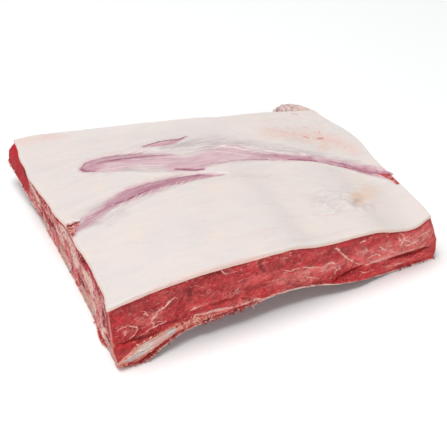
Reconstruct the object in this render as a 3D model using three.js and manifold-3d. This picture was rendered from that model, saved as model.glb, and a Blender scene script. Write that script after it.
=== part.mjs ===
// Beef short rib slab: a square-cut slab of plate short ribs lying on its bone side, fat side up.
// From the top down it holds the fat cap with three thin muscle strips laid into it, the main lean,
// the lower lean between and over the four rib bones, and the membrane that lines the inside.
// Millimetres, +Z up. X runs along the ribs, and the long front cut face looks along -Y.
import * as THREE from "three";
import { mergeVertices } from "three/addons/utils/BufferGeometryUtils.js";
import Module from "manifold-3d";

// Plan of the slab, measured from its front left corner.
const slabLength = 276;
const leftDepth = 254;
const rightDepth = 191;
const leftFlare = 5; // how far the left sawn face swings out at its back end, along its top edge
const leftFlareFoot = 10; // and along its foot
const leftWaist = 3.5; // how far the top edge is drawn in between the front corner and the notch
const leftWaistEnd = 108;
const leftFoot = 4; // how far the foot of the left face spreads behind its front corner
const leftFootRun = 0.22; // share of the depth over which it does so
const lumpSwell = 5; // how far the boneless lean at the back left corner swells past the fat
const lumpStart = 0.7; // share of the depth where it begins
const lumpTop = 0.97; // share of the height where it stops, just under the fat
const rightBelly = 9.5; // how far the right sawn face swells out between its top edge and its foot
const rightFoot = 8; // and how far the foot itself stands out
const rightWave = 4; // how far its edge wanders out at two thirds of the depth
const rightWaveStart = 0.45;
const rightWaveRun = 0.45;
const backTrim = [8, 3]; // taken off the back right corner along the length and the depth
const frontTrim = [1.5, 5]; // and off the front right corner

// Thicknesses.
const fatThickness = 2.8;
const membraneThickness = 1.4;
const gap = 0.3; // between two pieces that touch

// Heights of the lean's top edge at distances along the front face, then along the back edge.
const frontTop = [
  [0, 57],
  [36, 61.5],
  [72, 63.5],
  [143, 61],
  [176, 53.4],
  [215, 51.8],
  [250, 42.6],
  [265, 41.5],
  [276, 44],
];
const backTop = [
  [0, 42.5],
  [90, 42.5],
  [200, 41],
  [276, 38.5],
];
const crown = 4; // how much the middle of the top stands above the line from front to back

// Heights of the seam between the two leans on the front face, and over the bones further in.
const frontSeam = [
  [0, 16],
  [40, 27],
  [104, 37],
  [122, 33],
  [150, 25],
  [182, 18.5],
  [232, 21],
  [276, 20],
];
const seamOverBones = 18.5;
const seamReach = 18; // depth over which the front seam settles to its inner height

// Shares of the height of the cut faces at which the levels of the stack lie.
const leanShare = 0.94;
const seamShare = 0.4;
const lowerShare = 0.04;

// The underside is an arch along the ribs: it stands on its two sawn ends and clears the ground
// between them. The boneless back left corner hangs clear as well.
const archLine = [
  [19, 0],
  [50, 11.5],
  [100, 13],
  [143, 16],
  [170, 12.5],
  [205, 5],
  [240, 1],
  [276, 0],
];
const backLift = 17;
const backLiftStart = 150;
const backLiftRun = 105;
const pressIn = 0.8; // how much of the foot is pressed flat by the weight
const valleyDepth = 2.6; // of the hollows between the bones, felt through the membrane
const valleyFade = 5; // height of the arch at which they reach that depth

// Rib bones: the distance of each centre from the front face at the left and right ends.
const ribLeft = [8, 65, 121, 177];
const ribRight = [26, 70, 113, 156];
const ribWidthLeft = 34;
const ribWidthRight = 28;
const ribHeight = 12.5;
const ribProud = 0.9; // the sawn bone ends stand out a little from the meat
const ribSquareness = 0.8; // 1 is an ellipse, less is squarer
const ribFlank = 14; // run from the side of a bone to the middle of the hollow beside it
const ribLevel = 0.15; // share of the height of the cut faces at which the bones end
const ribClearance = 1.3; // between a bone and the membrane under it
const cutterReach = 6; // how far a cutter runs out past the faces it opens
const boneBulge = 8; // how far the bared front bone stands out of the front face
const cornerShare = 0.6; // share of that bulge left at the corner itself
const cornerRun = 16;
const footBulge = 4; // and how far the foot of that face stands out at most further right
const footBulgeStart = 150;
const footBulgeRun = 100;
const boneBareStart = 16; // where the face begins to draw back over it
const boneBareEnd = 62; // and where the meat has covered it
const boneBendStart = 12; // the front bone runs along the face before it bends inwards
const boneBendRun = 110;

// The layers are height fields over one grid, so that neighbours keep an even gap.
const gridAlong = 15;
const gridAcross = 16;

// Muscle strips laid into the fat: plan points [x, y, width] from left to right.
const backStripLine = [
  [33, 178, 4],
  [46, 178, 23],
  [80, 167, 34],
  [112, 151, 41],
  [158, 144, 32],
  [196, 125, 13],
  [224, 110, 9],
  [244, 97, 8],
  [262, 81, 10],
  [278, 66, 13],
];
const frontStripLine = [
  [-1, 97, 13],
  [30, 103, 13],
  [60, 114, 20],
  [95, 119, 17],
  [126, 116, 8],
  [142, 111, 3],
];
const slitStripLine = [
  [90, 188.5, 2],
  [101, 187, 5],
  [114, 187, 6],
  [125, 187.5, 5],
  [134, 188, 2],
];
const stripDepth = 1.9;
const stripEdge = 0.6;
const stripCrown = 0.4;
const notchDrop = 2.6; // the front strip lies this much lower where it meets the left face
const notchRun = 0.16; // share of its length over which it climbs out of that notch

// The loose flap of connective tissue at the back right corner.
const flapStart = 232;
const flapEnd = 273;
const flapReach = 12;
const flapRoot = 9;
const flapThickness = 3.2;
const flapBelowFat = 1;
const flapCurl = 6.8; // how far its rim turns up at most
const flapClear = 1.2; // distance past the edge at which it starts to turn up

const wasm = await Module();
wasm.setup();

const clamp01 = (t) => Math.min(1, Math.max(0, t));
const lerp = (a, b, t) => a + (b - a) * t;

function smooth(t) {
  const c = clamp01(t);
  return c * c * (3 - 2 * c);
}

// 0 at 0 and at 1, rising to 1 midway.
const hump = (t) => Math.sin(Math.PI * clamp01(t)) ** 2;

// A smooth curve through [x, z] stations.
function along(stations, x) {
  const last = stations.length - 1;
  if (x <= stations[0][0]) return stations[0][1];
  if (x >= stations[last][0]) return stations[last][1];
  const i = stations.findIndex((s) => s[0] > x) - 1;
  const [x0, z0] = stations[i];
  const [x1, z1] = stations[i + 1];
  const t = (x - x0) / (x1 - x0);
  return lerp(z0, z1, lerp(t, smooth(t), 0.5));
}

const depthAt = (x) => lerp(leftDepth, rightDepth, clamp01(x / slabLength));

// Height of the arch of the underside, before it is pressed flat.
function archHeight(x, y) {
  const lift = backLift * smooth((y - backLiftStart) / backLiftRun) * (1 - smooth(x / slabLength));
  return Math.max(along(archLine, x), lift);
}

function ribCentre(index, x) {
  const ease = index === 0 ? smooth((x - boneBendStart) / boneBendRun) : clamp01(x / slabLength);
  return lerp(ribLeft[index], ribRight[index], ease);
}

const ribWidth = (x) => lerp(ribWidthLeft, ribWidthRight, clamp01(x / slabLength));

// 1 under a bone and 0 midway between two.
function ribShare(x, y) {
  const centres = ribLeft.map((_, i) => ribCentre(i, x));
  const nearest = Math.min(...centres.map((c) => Math.abs(y - c)));
  return 1 - smooth((nearest - ribWidth(x) * 0.3) / ribFlank);
}

function underside(x, y) {
  const arch = archHeight(x, y);
  const valley = valleyDepth * (1 - ribShare(x, y)) * smooth(arch / valleyFade);
  return Math.max(0, arch + valley - pressIn);
}

const lowerBottom = (x, y) => underside(x, y) + membraneThickness;

function seam(x, y) {
  const inner = archHeight(x, y) + seamOverBones;
  return lerp(along(frontSeam, x), inner, smooth(y / seamReach));
}

function leanTop(x, y) {
  const t = clamp01(y / depthAt(x));
  const flat = lerp(along(frontTop, x), along(backTop, x), lerp(t, smooth(t), 0.6));
  return flat + crown * Math.sin(Math.PI * t) * Math.sin(Math.PI * clamp01(x / slabLength));
}

const fatTop = (x, y) => leanTop(x, y) + fatThickness;

// The four levels of the stack, each with its height and how near the top of the cut faces it lies.
const levels = {
  top: { height: fatTop, share: 1 },
  lean: { height: leanTop, share: leanShare },
  seam: { height: seam, share: seamShare },
  lower: { height: lowerBottom, share: lowerShare },
  under: { height: underside, share: 0 },
};

// 1 at the foot of a cut face, falling to 0 at the seam.
const atFoot = (share) => 1 - smooth(share / seamShare);

// How far the front face stands out over the bared bone, most at its foot.
function frontFace(x, share) {
  const eased = lerp(cornerShare, 1, smooth(x / cornerRun));
  const bared = eased * (1 - smooth((x - boneBareStart) / (boneBareEnd - boneBareStart)));
  const swollen = hump((x - footBulgeStart) / footBulgeRun);
  return -(boneBulge * bared + footBulge * swollen) * atFoot(share);
}

// Where the sawn faces stand, at a share of the depth and a share of the height.
function leftFace(v, share) {
  const waist = leftWaist * hump((v * leftDepth) / leftWaistEnd) * smooth((share - seamShare) * 2);
  const foot = leftFoot * hump(v / leftFootRun) * atFoot(share);
  const lump = lumpSwell * smooth((v - lumpStart) * 4) * smooth((lumpTop - share) * 10);
  const flare = lerp(leftFlareFoot, leftFlare, share) * v * v;
  return waist - foot - lump - flare;
}

function rightFace(v, share) {
  const belly = rightBelly * 0.6 * Math.sin(Math.PI * share) + rightFoot * (1 - share);
  return slabLength + belly + rightWave * hump((v - rightWaveStart) / rightWaveRun);
}

// A point of the grid on one level, with its height moved by lift.
function gridPoint(u, v, level, lift) {
  const nearBack = smooth((u - 0.8) / 0.2) * smooth((v - 0.75) / 0.25);
  const nearFront = smooth((u - 0.93) / 0.07) * (1 - smooth(v / 0.07));
  const right = rightFace(v, level.share) - backTrim[0] * nearBack - frontTrim[0] * nearFront;
  const x = lerp(leftFace(v, level.share), right, u);
  const front = frontFace(x, level.share) + frontTrim[1] * nearFront * level.share;
  const back = depthAt(x) - backTrim[1] * nearBack;
  const y = lerp(front, back, v);
  return [x, y, level.height(x, y) + lift];
}

function meshOf(positions, faces) {
  const geometry = new THREE.BufferGeometry();
  geometry.setAttribute("position", new THREE.BufferAttribute(new Float32Array(positions.flat()), 3));
  geometry.setIndex(faces.flat());
  return geometry;
}

// A closed layer between two levels.
function layer(upper, lower) {
  const points = [];
  const faces = [];
  const row = gridAlong + 1;
  const side = row * (gridAcross + 1);
  const at = (i, j) => j * row + i;
  const quad = (a, b, c, d) => faces.push([a, b, c], [a, c, d]);
  [[upper, -gap / 2], [lower, gap / 2]].forEach(([level, lift]) => {
    for (let j = 0; j <= gridAcross; j++) {
      for (let i = 0; i <= gridAlong; i++) {
        points.push(gridPoint(i / gridAlong, j / gridAcross, level, lift));
      }
    }
  });
  for (let j = 0; j < gridAcross; j++) {
    for (let i = 0; i < gridAlong; i++) {
      quad(at(i, j), at(i + 1, j), at(i + 1, j + 1), at(i, j + 1));
      quad(side + at(i, j), side + at(i, j + 1), side + at(i + 1, j + 1), side + at(i + 1, j));
    }
  }
  for (let i = 0; i < gridAlong; i++) {
    quad(side + at(i, 0), side + at(i + 1, 0), at(i + 1, 0), at(i, 0));
    const far = at(i, gridAcross);
    quad(side + far + 1, side + far, far, far + 1);
  }
  for (let j = 0; j < gridAcross; j++) {
    quad(side + at(0, j + 1), side + at(0, j), at(0, j), at(0, j + 1));
    quad(side + at(gridAlong, j), side + at(gridAlong, j + 1), at(gridAlong, j + 1), at(gridAlong, j));
  }
  return meshOf(points, faces);
}

// A closed tube through rings of equal length, capped flat at both ends.
function loft(rings) {
  const sides = rings[0].length;
  const faces = [];
  for (let k = 0; k < rings.length - 1; k++) {
    for (let s = 0; s < sides; s++) {
      const t = (s + 1) % sides;
      const a = k * sides;
      const b = a + sides;
      faces.push([a + s, b + s, b + t], [a + s, b + t, a + t]);
    }
  }
  const end = (rings.length - 1) * sides;
  for (let s = 1; s < sides - 1; s++) {
    faces.push([0, s, s + 1], [end, end + s + 1, end + s]);
  }
  return meshOf(rings.flat(), faces);
}

// A flattened oval bone along the arch, from one sawn face to the other. Grow widens it all round
// and runs it out past both faces, as the cutter of its own channel.
function rib(index, grow) {
  const steps = 13;
  const sides = 10;
  const rings = [];
  for (let k = 0; k <= steps; k++) {
    const t = k / steps;
    const v = ribCentre(index, t * slabLength) / depthAt(t * slabLength);
    const x = lerp(leftFace(v, ribLevel) - ribProud, rightFace(v, ribLevel) + ribProud, t);
    const y = ribCentre(index, x);
    const half = ribWidth(x) / 2 + grow;
    const ring = [];
    for (let s = sides; s > 0; s--) {
      const angle = (2 * Math.PI * (s - 0.5)) / sides;
      const across = Math.sign(Math.cos(angle)) * Math.abs(Math.cos(angle)) ** ribSquareness;
      const up = Math.sign(Math.sin(angle)) * Math.abs(Math.sin(angle)) ** ribSquareness;
      const spread = up < 0 ? -grow * 4 : grow;
      const pointY = y + half * across;
      const base = Math.max(0, archHeight(x, pointY) - pressIn) + membraneThickness + ribClearance;
      ring.push([x, pointY, base + (ribHeight / 2) * (1 + up) + spread]);
    }
    rings.push(ring);
  }
  if (grow > 0) {
    rings.unshift(rings[0].map(([x, y, z]) => [x - cutterReach, y, z]));
    rings.push(rings[rings.length - 1].map(([x, y, z]) => [x + cutterReach, y, z]));
  }
  return loft(rings);
}

// A thin lens of muscle along its plan line, lying flush in the top of the fat. Grow widens it, and
// runs it out past an end that meets a cut face.
function strip({ line, steps, drop, open }, grow) {
  const across = [-1, -0.5, 0, 0.5, 1];
  const curve = new THREE.CatmullRomCurve3(line.map(([x, y, w]) => new THREE.Vector3(x, y, w)));
  const startReach = open === "start" ? cutterReach : 2 * grow;
  const endReach = open === "end" ? cutterReach : 2 * grow;
  const rings = [];
  for (let k = 0; k <= steps; k++) {
    const t = k / steps;
    const centre = curve.getPoint(t);
    const heading = curve.getTangent(t).setZ(0).normalize();
    const half = Math.max(stripEdge, centre.z / 2) + grow;
    const ends = (k === steps ? endReach : 0) - (k === 0 ? startReach : 0);
    const reach = grow > 0 ? ends : 0;
    const sunk = drop * (1 - smooth(t / notchRun));
    const place = (w, height) => {
      const x = centre.x - heading.y * half * w;
      const y = centre.y + heading.x * half * w;
      const z = fatTop(x, y) - gap + height;
      return [x + heading.x * reach, y + heading.y * reach, z];
    };
    const upper = (w) => place(w, grow > 0 ? 4 : stripCrown * (1 - w * w) - sunk);
    const lower = (w) => place(w, -lerp(stripDepth, stripEdge, w * w) - grow - sunk * 0.1);
    rings.push([...across.map(upper), ...across.map((w) => lower(-w))]);
  }
  return loft(rings);
}

// The flap: a thin tongue rooted in the lean under the fat and hanging out past the back edge.
function flap(grow) {
  const steps = 8;
  const rings = [];
  for (let k = 0; k <= steps; k++) {
    const t = k / steps;
    const x = lerp(flapStart - grow, flapEnd + grow, t);
    const edge = gridPoint(clamp01(x / slabLength), 1, levels.lean, 0)[1];
    const reach = 2 + flapReach * Math.sin(Math.PI * lerp(0.06, 0.98, t)) ** 1.2;
    const curl = flapCurl * Math.sin(Math.PI * lerp(0.1, 0.94, t));
    const top = leanTop(x, edge) - flapBelowFat + grow;
    const thick = flapThickness + 2 * grow;
    const root = edge - flapRoot * Math.sin(Math.PI * lerp(0.12, 0.88, t)) - grow;
    rings.push([
      [x, root, top],
      [x, root, top - thick],
      [x, edge + reach * 0.6, top - thick + curl * 0.3],
      [x, edge + reach + grow, top - thick * 0.5 + curl],
      [x, edge + reach * 0.6, top + curl * 0.6],
      [x, edge + flapClear, top],
    ]);
  }
  return loft(rings.map((ring) => ring.reverse()));
}

function toSolid(geometry) {
  const bare = geometry.clone();
  bare.deleteAttribute("normal");
  bare.deleteAttribute("uv");
  const merged = mergeVertices(bare, 1e-4);
  return new wasm.Manifold(
    new wasm.Mesh({
      numProp: 3,
      vertProperties: merged.attributes.position.array,
      triVerts: new Uint32Array(merged.index.array),
    }),
  );
}

// What is left of a piece once its neighbours, given a little room, are taken out of it.
function cutBy(geometry, cutters) {
  const left = cutters.reduce((solid, cutter) => solid.subtract(toSolid(cutter)), toSolid(geometry));
  const largest = left.decompose().sort((a, b) => b.volume() - a.volume())[0];
  const mesh = largest.getMesh();
  const made = new THREE.BufferGeometry();
  made.setAttribute("position", new THREE.BufferAttribute(mesh.vertProperties, 3));
  made.setIndex(new THREE.BufferAttribute(mesh.triVerts, 1));
  return made;
}

const slab = new THREE.Group();

function add(name, geometry, colour, roughness) {
  const material = new THREE.MeshStandardMaterial({ color: colour, roughness, metalness: 0 });
  geometry.computeVertexNormals();
  const mesh = new THREE.Mesh(geometry, material);
  mesh.name = name;
  slab.add(mesh);
}

const fatWhite = "#ece4dd";
const leanRed = "#b4433f";
const darkRed = "#8f2f30";
const boneCream = "#dccbb4";
const stripMauve = "#b98a9c";
const membranePink = "#dcb4aa";
const flapGrey = "#c3adb0";

const strips = {
  back_muscle_strip: { line: backStripLine, steps: 14, drop: 0, open: "end" },
  front_muscle_strip: { line: frontStripLine, steps: 12, drop: notchDrop, open: "start" },
  slit_muscle_strip: { line: slitStripLine, steps: 6, drop: 0, open: "none" },
};
const stripCutters = Object.values(strips).map((values) => strip(values, gap));
const ribs = ribLeft.map((_, index) => index);

add("fat_cap", cutBy(layer(levels.top, levels.lean), stripCutters), fatWhite, 0.45);
Object.entries(strips).forEach(([name, values]) => add(name, strip(values, 0), stripMauve, 0.4));
add("lean_main", cutBy(layer(levels.lean, levels.seam), [flap(gap)]), leanRed, 0.4);
add("lean_lower", cutBy(layer(levels.seam, levels.lower), ribs.map((i) => rib(i, gap))), darkRed, 0.4);
ribs.forEach((i) => add(`rib_${i + 1}`, rib(i, 0), boneCream, 0.6));
add("underside_membrane", layer(levels.lower, levels.under), membranePink, 0.35);
add("corner_flap", flap(0), flapGrey, 0.4);

// The frame's origin is the middle of the slab's box, on the ground.
const box = new THREE.Box3().setFromObject(slab);
const middle = box.getCenter(new THREE.Vector3());
slab.position.set(-middle.x, -middle.y, -box.min.z);

export default slab;
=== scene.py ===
import math
import random
from functools import partial

import bmesh
import bpy
import numpy as np
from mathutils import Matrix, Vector
from mathutils.bvhtree import BVHTree


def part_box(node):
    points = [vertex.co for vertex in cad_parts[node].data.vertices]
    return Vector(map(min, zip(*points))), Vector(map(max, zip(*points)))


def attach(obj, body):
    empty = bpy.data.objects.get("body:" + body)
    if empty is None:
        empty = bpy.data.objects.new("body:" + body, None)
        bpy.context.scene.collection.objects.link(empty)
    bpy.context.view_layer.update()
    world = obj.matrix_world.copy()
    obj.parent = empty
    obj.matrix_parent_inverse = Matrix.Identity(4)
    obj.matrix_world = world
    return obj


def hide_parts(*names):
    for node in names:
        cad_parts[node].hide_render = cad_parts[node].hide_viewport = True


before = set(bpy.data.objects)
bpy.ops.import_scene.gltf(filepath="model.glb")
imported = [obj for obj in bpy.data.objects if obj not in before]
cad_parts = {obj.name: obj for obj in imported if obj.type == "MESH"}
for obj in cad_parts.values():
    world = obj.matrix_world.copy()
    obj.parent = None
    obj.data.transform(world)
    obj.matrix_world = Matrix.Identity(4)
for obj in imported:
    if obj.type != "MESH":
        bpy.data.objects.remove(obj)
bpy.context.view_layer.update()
mm = 0.001
print("frame loaded")


def linear(hexColour):  # sRGB hex to the linear colour that the shader wants
    parts = [int(hexColour[i:i + 2], 16) / 255 for i in (1, 3, 5)]
    turned = [c / 12.92 if c <= 0.04045 else ((c + 0.055) / 1.055) ** 2.4 for c in parts]
    return (*turned, 1.0)


def addNode(tree, kind, links=None, stops=None, **settings):
    node = tree.nodes.new(kind)
    for name, value in settings.items():
        setattr(node, name, value)
    for socket, value in (links or {}).items():
        if isinstance(value, bpy.types.Node):  # a node stands for its first output
            value = value.outputs[0]
        if isinstance(value, bpy.types.NodeSocket):
            tree.links.new(value, node.inputs[socket])
        else:
            node.inputs[socket].default_value = value
    if stops:
        ramp = node.color_ramp
        while len(ramp.elements) < len(stops):
            ramp.elements.new(0.5)
        for element, (place, colour) in zip(ramp.elements, stops):
            element.position = place
            element.color = colour
    return node


def smooth(t):
    c = np.clip(t, 0, 1)
    return c * c * (3 - 2 * c)


def bell(value, centre, width):
    return np.exp(-((value - centre) / width) ** 2)


def latticeNoise(points, seed):  # -1 to 1, smooth, the same on every run
    cell = np.floor(points).astype(np.int64)
    local = points - cell
    blend = local ** 3 * (local * (local * 6 - 15) + 10)
    primes = np.array([73856093, 19349663, 83492791])
    total = np.zeros(len(points))
    for corner in range(8):
        offset = np.array([corner & 1, corner >> 1 & 1, corner >> 2])
        key = ((cell + offset) @ primes + seed * 40503) & 0xFFFFFFFF
        key = ((key ^ key >> 15) * 739982445) & 0xFFFFFFFF
        key = ((key ^ key >> 12) * 695872825) & 0xFFFFFFFF
        key = key ^ key >> 15
        weight = np.prod(np.where(offset, blend, 1 - blend), axis=1)
        total += (key / 0x7FFFFFFF - 1) * weight
    return total


def noiseAt(points, size, seed=0, octaves=3, stretch=(1, 1, 1)):  # points in metres, size in mm
    scaled = points / (np.array(stretch) * size * mm)
    total = np.zeros(len(points))
    for octave in range(octaves):
        total += 0.5 ** octave * latticeNoise(scaled * 2 ** octave + 17.3 * octave, seed + octave)
    return total


def relief(points, layers):  # each layer of noise: its height in mm, then what noiseAt takes
    return sum(height * noiseAt(points, *layer) for height, *layer in layers)


def curveAt(points, t):  # Catmull-Rom through evenly spaced points, t from 0 to 1
    points = np.asarray(points, float)
    last = len(points) - 1
    place = np.clip(np.asarray(t, float) * last, 0, last - 1e-9)
    i = place.astype(int)
    f = (place - i).reshape(-1, *[1] * (points.ndim - 1))
    padded = np.concatenate([2 * points[:1] - points[1:2], points, 2 * points[-1:] - points[-2:-1]])
    a, b, c, d = padded[i], padded[i + 1], padded[i + 2], padded[i + 3]
    return 0.5 * (2 * b + (c - a) * f + (2 * a - 5 * b + 4 * c - d) * f ** 2
                  + (3 * b - a - 3 * c + d) * f ** 3)


def strokeMap(x, y, strokes):  # 0 to 1: 0.5 at the edge of a stroke, times its strength
    best = np.zeros(len(x))
    for strength, line in strokes:
        for (x0, y0, h0), (x1, y1, h1) in zip(line[:-1], line[1:]):
            near = (np.abs(x - (x0 + x1) / 2) < abs(x1 - x0) / 2 + 2.2 * max(h0, h1) + 1)
            px, py = x[near], y[near]
            dx, dy = x1 - x0, y1 - y0
            t = np.clip(((px - x0) * dx + (py - y0) * dy) / (dx * dx + dy * dy), 0, 1)
            gap = np.hypot(px - x0 - t * dx, py - y0 - t * dy) / (h0 + (h1 - h0) * t)
            best[near] = np.maximum(best[near], strength * np.clip(1 - gap / 2, 0, 1))
    return best


def inScene(name, data):
    placed = bpy.data.objects.new(name, data)
    bpy.context.scene.collection.objects.link(placed)
    return placed


def makePiece(name, points, faces, attributes=None):
    mesh = bpy.data.meshes.new(name)
    mesh.from_pydata([tuple(p) for p in points], [], faces)
    for label, values in (attributes or {}).items():
        layer = mesh.attributes.new(label, "FLOAT", "POINT")
        layer.data.foreach_set("value", np.asarray(values, np.float32))
    mesh.validate()
    bm = bmesh.new()
    bm.from_mesh(mesh)
    bmesh.ops.recalc_face_normals(bm, faces=bm.faces)
    if bm.calc_volume(signed=True) < 0:  # a thin folded piece can come out inside out
        bmesh.ops.reverse_faces(bm, faces=bm.faces)
    bm.to_mesh(mesh)
    bm.free()
    mesh.shade_smooth()
    return inScene(name, mesh)


def finishPiece(piece, material, slot, *nodes):
    piece.data.materials.clear()
    piece.data.materials.append(material)
    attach(piece, "root")
    if nodes:
        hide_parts(*nodes)


# The slab's form is read from the frame: each layer's rims, and nets over its top and underside.
def mergedCopy(node):
    bm = bmesh.new()
    bm.from_mesh(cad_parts[node].data)
    bmesh.ops.remove_doubles(bm, verts=bm.verts, dist=0.01 * mm)
    return bm


levelSlope, flankSlope = 0.75, 0.68  # upright parts of the normals above and beside a layer's edge


def rimOf(node, side):  # the closed edge where a layer's top (1) or bottom (-1) face meets its flanks
    bm = mergedCopy(node)
    nextTo = {}
    for edge in bm.edges:
        slopes = [face.normal.z * side for face in edge.link_faces]
        if len(slopes) == 2 and max(slopes) > levelSlope and min(slopes) < flankSlope:
            a, b = (vert.index for vert in edge.verts)
            nextTo.setdefault(a, []).append(b)
            nextTo.setdefault(b, []).append(a)
    bm.verts.ensure_lookup_table()
    points = {i: np.array(bm.verts[i].co) for i in nextTo}
    bm.free()
    start = min(points, key=lambda i: points[i][0] + points[i][1])
    loop = [start, max(nextTo[start], key=lambda i: points[i][0])]
    while loop[-1] != start:
        onward = [i for i in nextTo[loop[-1]] if i != loop[-2]]
        loop.append(onward[0])
    return np.array([points[i] for i in loop[:-1]])


alongCells = 15
acrossCells = 16
netPasses = 40


def evenPoints(line, cells):  # points at even distances along a line
    steps = np.linalg.norm(np.diff(line, axis=0), axis=1)
    reached = np.concatenate([[0], np.cumsum(steps)])
    wanted = np.linspace(0, reached[-1], cells + 1)
    return np.stack([np.interp(wanted, reached, line[:, k]) for k in range(3)], 1)


def sidesOf(loop):  # four curves: front and back run towards +X, left and right towards +Y
    x, y = loop[:, 0], loop[:, 1]
    right, backRight, backLeft = np.argmax(x - y), np.argmax(x + y), np.argmax(y - x)
    closed = np.vstack([loop, loop[:1]])
    return {
        "front": evenPoints(closed[:right + 1], alongCells),
        "right": evenPoints(closed[right:backRight + 1], acrossCells),
        "back": evenPoints(closed[backRight:backLeft + 1][::-1], alongCells),
        "left": evenPoints(closed[backLeft:][::-1], acrossCells),
    }


rims = {
    "lean": sidesOf(rimOf("fat_cap", -1)),
    "seam": sidesOf(rimOf("lean_main", -1)),
    "lower": sidesOf(rimOf("underside_membrane", 1)),
    "under": sidesOf(rimOf("underside_membrane", -1)),
}
cornerX, cornerY = rims["lean"]["front"][0][:2]  # the front left corner, from which places are measured
rightRim, slotStart, slotEnd = rims["lean"]["right"], 5, 9
# The fat's right edge runs straight past the slot where a muscle strip leaves.
rims["lean"]["right"] = evenPoints(np.vstack([rightRim[:slotStart], rightRim[slotEnd:]]), acrossCells)

# The finished slab keeps a sharper front left corner and a more tucked back left one than the plain solids:
# (side, point along it): how far it moves in mm.
frontLeft = (("front", 0), ("left", 0))
rimShifts = {
    "lean": {**{place: (-2.8, -0.8, -0.4) for place in frontLeft},
             **{("back", k): (0, 0.8, 1) for k in range(1, 10)},
             **{("left", k): (-shift, 0, 0) for k, shift in
                {2: 1.5, 3: 2, 4: 2, 5: 2, 8: 3, 9: 3, 10: 4.5, 11: 5.5, 12: 6.5, 13: 4.5, 14: 4,
                 15: 1}.items()}},
    "seam": {**{place: (-2.2, -0.6, 0) for place in frontLeft},
             **{("left", k): (-shift, 0, 0) for k, shift in {10: 1, 11: 2, 12: 2, 13: 1}.items()}},
    "lower": {**{place: (-1.4, -0.4, 0) for place in frontLeft}, ("left", 1): (1.6, 0, 0),
              ("left", 14): (0, 0, 2), ("left", 15): (0, 0, 4), ("left", 16): (0, 0, 3),
              ("back", 0): (0, 0, 3)},
    "under": {("left", 1): (2.4, 0, 0), ("left", 14): (0, 0, 2.5), ("left", 15): (0, 0, 5),
              ("left", 16): (0, 0, 4), ("back", 0): (0, 0, 4)},
}
for layer, shifts in rimShifts.items():
    for (side, index), shift in shifts.items():
        rims[layer][side][index] += np.array(shift) * mm
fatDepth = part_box("fat_cap")[1].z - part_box("lean_main")[1].z


def coonsNet(sides):  # a coarse net of points that fills the ring of four side curves
    u = np.linspace(0, 1, alongCells + 1)[:, None, None]
    v = np.linspace(0, 1, acrossCells + 1)[None, :, None]
    front, back = sides["front"][:, None], sides["back"][:, None]
    left, right = sides["left"][None], sides["right"][None]
    corners = ((1 - u) * (1 - v) * front[0, 0] + u * (1 - v) * front[-1, 0]
               + (1 - u) * v * back[0, 0] + u * v * back[-1, 0])
    net = (1 - v) * front + v * back + (1 - u) * left + u * right - corners
    for _ in range(netPasses):  # a kink in one side stays near that side
        net[1:-1, 1:-1] = (net[:-2, 1:-1] + net[2:, 1:-1] + net[1:-1, :-2] + net[1:-1, 2:]) / 4
    return net


def netOn(sides, node, towards):  # the same net, dropped (-1) or raised (1) onto a CAD node
    bm = mergedCopy(node)
    tree = BVHTree.FromBMesh(bm)
    bm.free()
    net = coonsNet(sides)
    for i in range(1, alongCells):
        for j in range(1, acrossCells):
            start = Vector((net[i, j, 0], net[i, j, 1], -towards * 0.2))
            hit = tree.ray_cast(start, Vector((0, 0, towards)))[0]
            if hit is not None:
                net[i, j, 2] = hit.z
    return net


leanNet = netOn(rims["lean"], "lean_main", -1)
underNet = netOn(rims["under"], "underside_membrane", 1)


def patchAt(net, u, v):  # a smooth patch through the net, at every pair of u and v
    return curveAt(curveAt(net, u).swapaxes(0, 1), v).swapaxes(0, 1)


def spacing(count, length, edge=(0, 0.25, 0.6, 1.1, 1.8)):  # 0 to 1, closer at both ends; lengths in mm
    near = np.array(edge) / length
    return np.concatenate([near, np.linspace(near[-1], 1 - near[-1], count)[1:-1], 1 - near[::-1]])


def gridFaces(rows, columns, base=0):
    at = lambda i, j: base + i * columns + j
    return [(at(i, j), at(i + 1, j), at(i + 1, j + 1), at(i, j + 1))
            for i in range(rows - 1) for j in range(columns - 1)]


def gridRim(rows, columns, base=0):  # a grid's outer points, side after side from its first
    cells = [(i, 0) for i in range(rows)] + [(rows - 1, j) for j in range(1, columns)]
    cells += [(i, columns - 1) for i in range(rows - 2, -1, -1)]
    cells += [(0, j) for j in range(columns - 2, 0, -1)]
    return [base + i * columns + j for i, j in cells]


def rimPlaces(u, v):  # where those points lie around the slab, 0 to 4
    return np.concatenate([u, 1 + v[1:], 3 - u[::-1][1:], 4 - v[::-1][1:-1]])


def ringFaces(upper, lower):  # quads between two closed rings of as many points
    count = len(upper)
    return [(upper[k], upper[(k + 1) % count], lower[(k + 1) % count], lower[k]) for k in range(count)]


def stitch(outer, outerPlaces, inner, innerPlaces):  # triangles between two closed rings around the slab
    outerEnds = [*outerPlaces[1:], 4, 9]  # places run from 0 to 4, and 9 lies past them all
    innerEnds = [*innerPlaces[1:], 4 + innerPlaces[0], 9]
    faces = []
    i = j = 0
    while i < len(outer) or j < len(inner):
        a, b = outer[i % len(outer)], inner[j % len(inner)]
        if outerEnds[i] <= innerEnds[j]:
            faces.append((a, outer[(i + 1) % len(outer)], b))
            i += 1
        else:
            faces.append((a, inner[(j + 1) % len(inner)], b))
            j += 1
    return faces


def closeWithNet(points, faces, ring, places, net):  # closes a ring with the inner part of a coarse net
    base = len(points)
    rows, columns = net.shape[0] - 2, net.shape[1] - 2
    points.extend(net[1:-1, 1:-1].reshape(-1, 3))
    faces.extend(gridFaces(rows, columns, base))
    u, v = (np.arange(1, count + 1) / (count + 1) for count in (rows, columns))
    faces.extend(stitch(ring, places, gridRim(rows, columns, base), rimPlaces(u, v)))


def beltPlaces(counts):  # places around the slab, 0 to 4, side after side from the front left corner
    return np.concatenate([side + np.arange(count) / count for side, count in enumerate(counts)])


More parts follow.
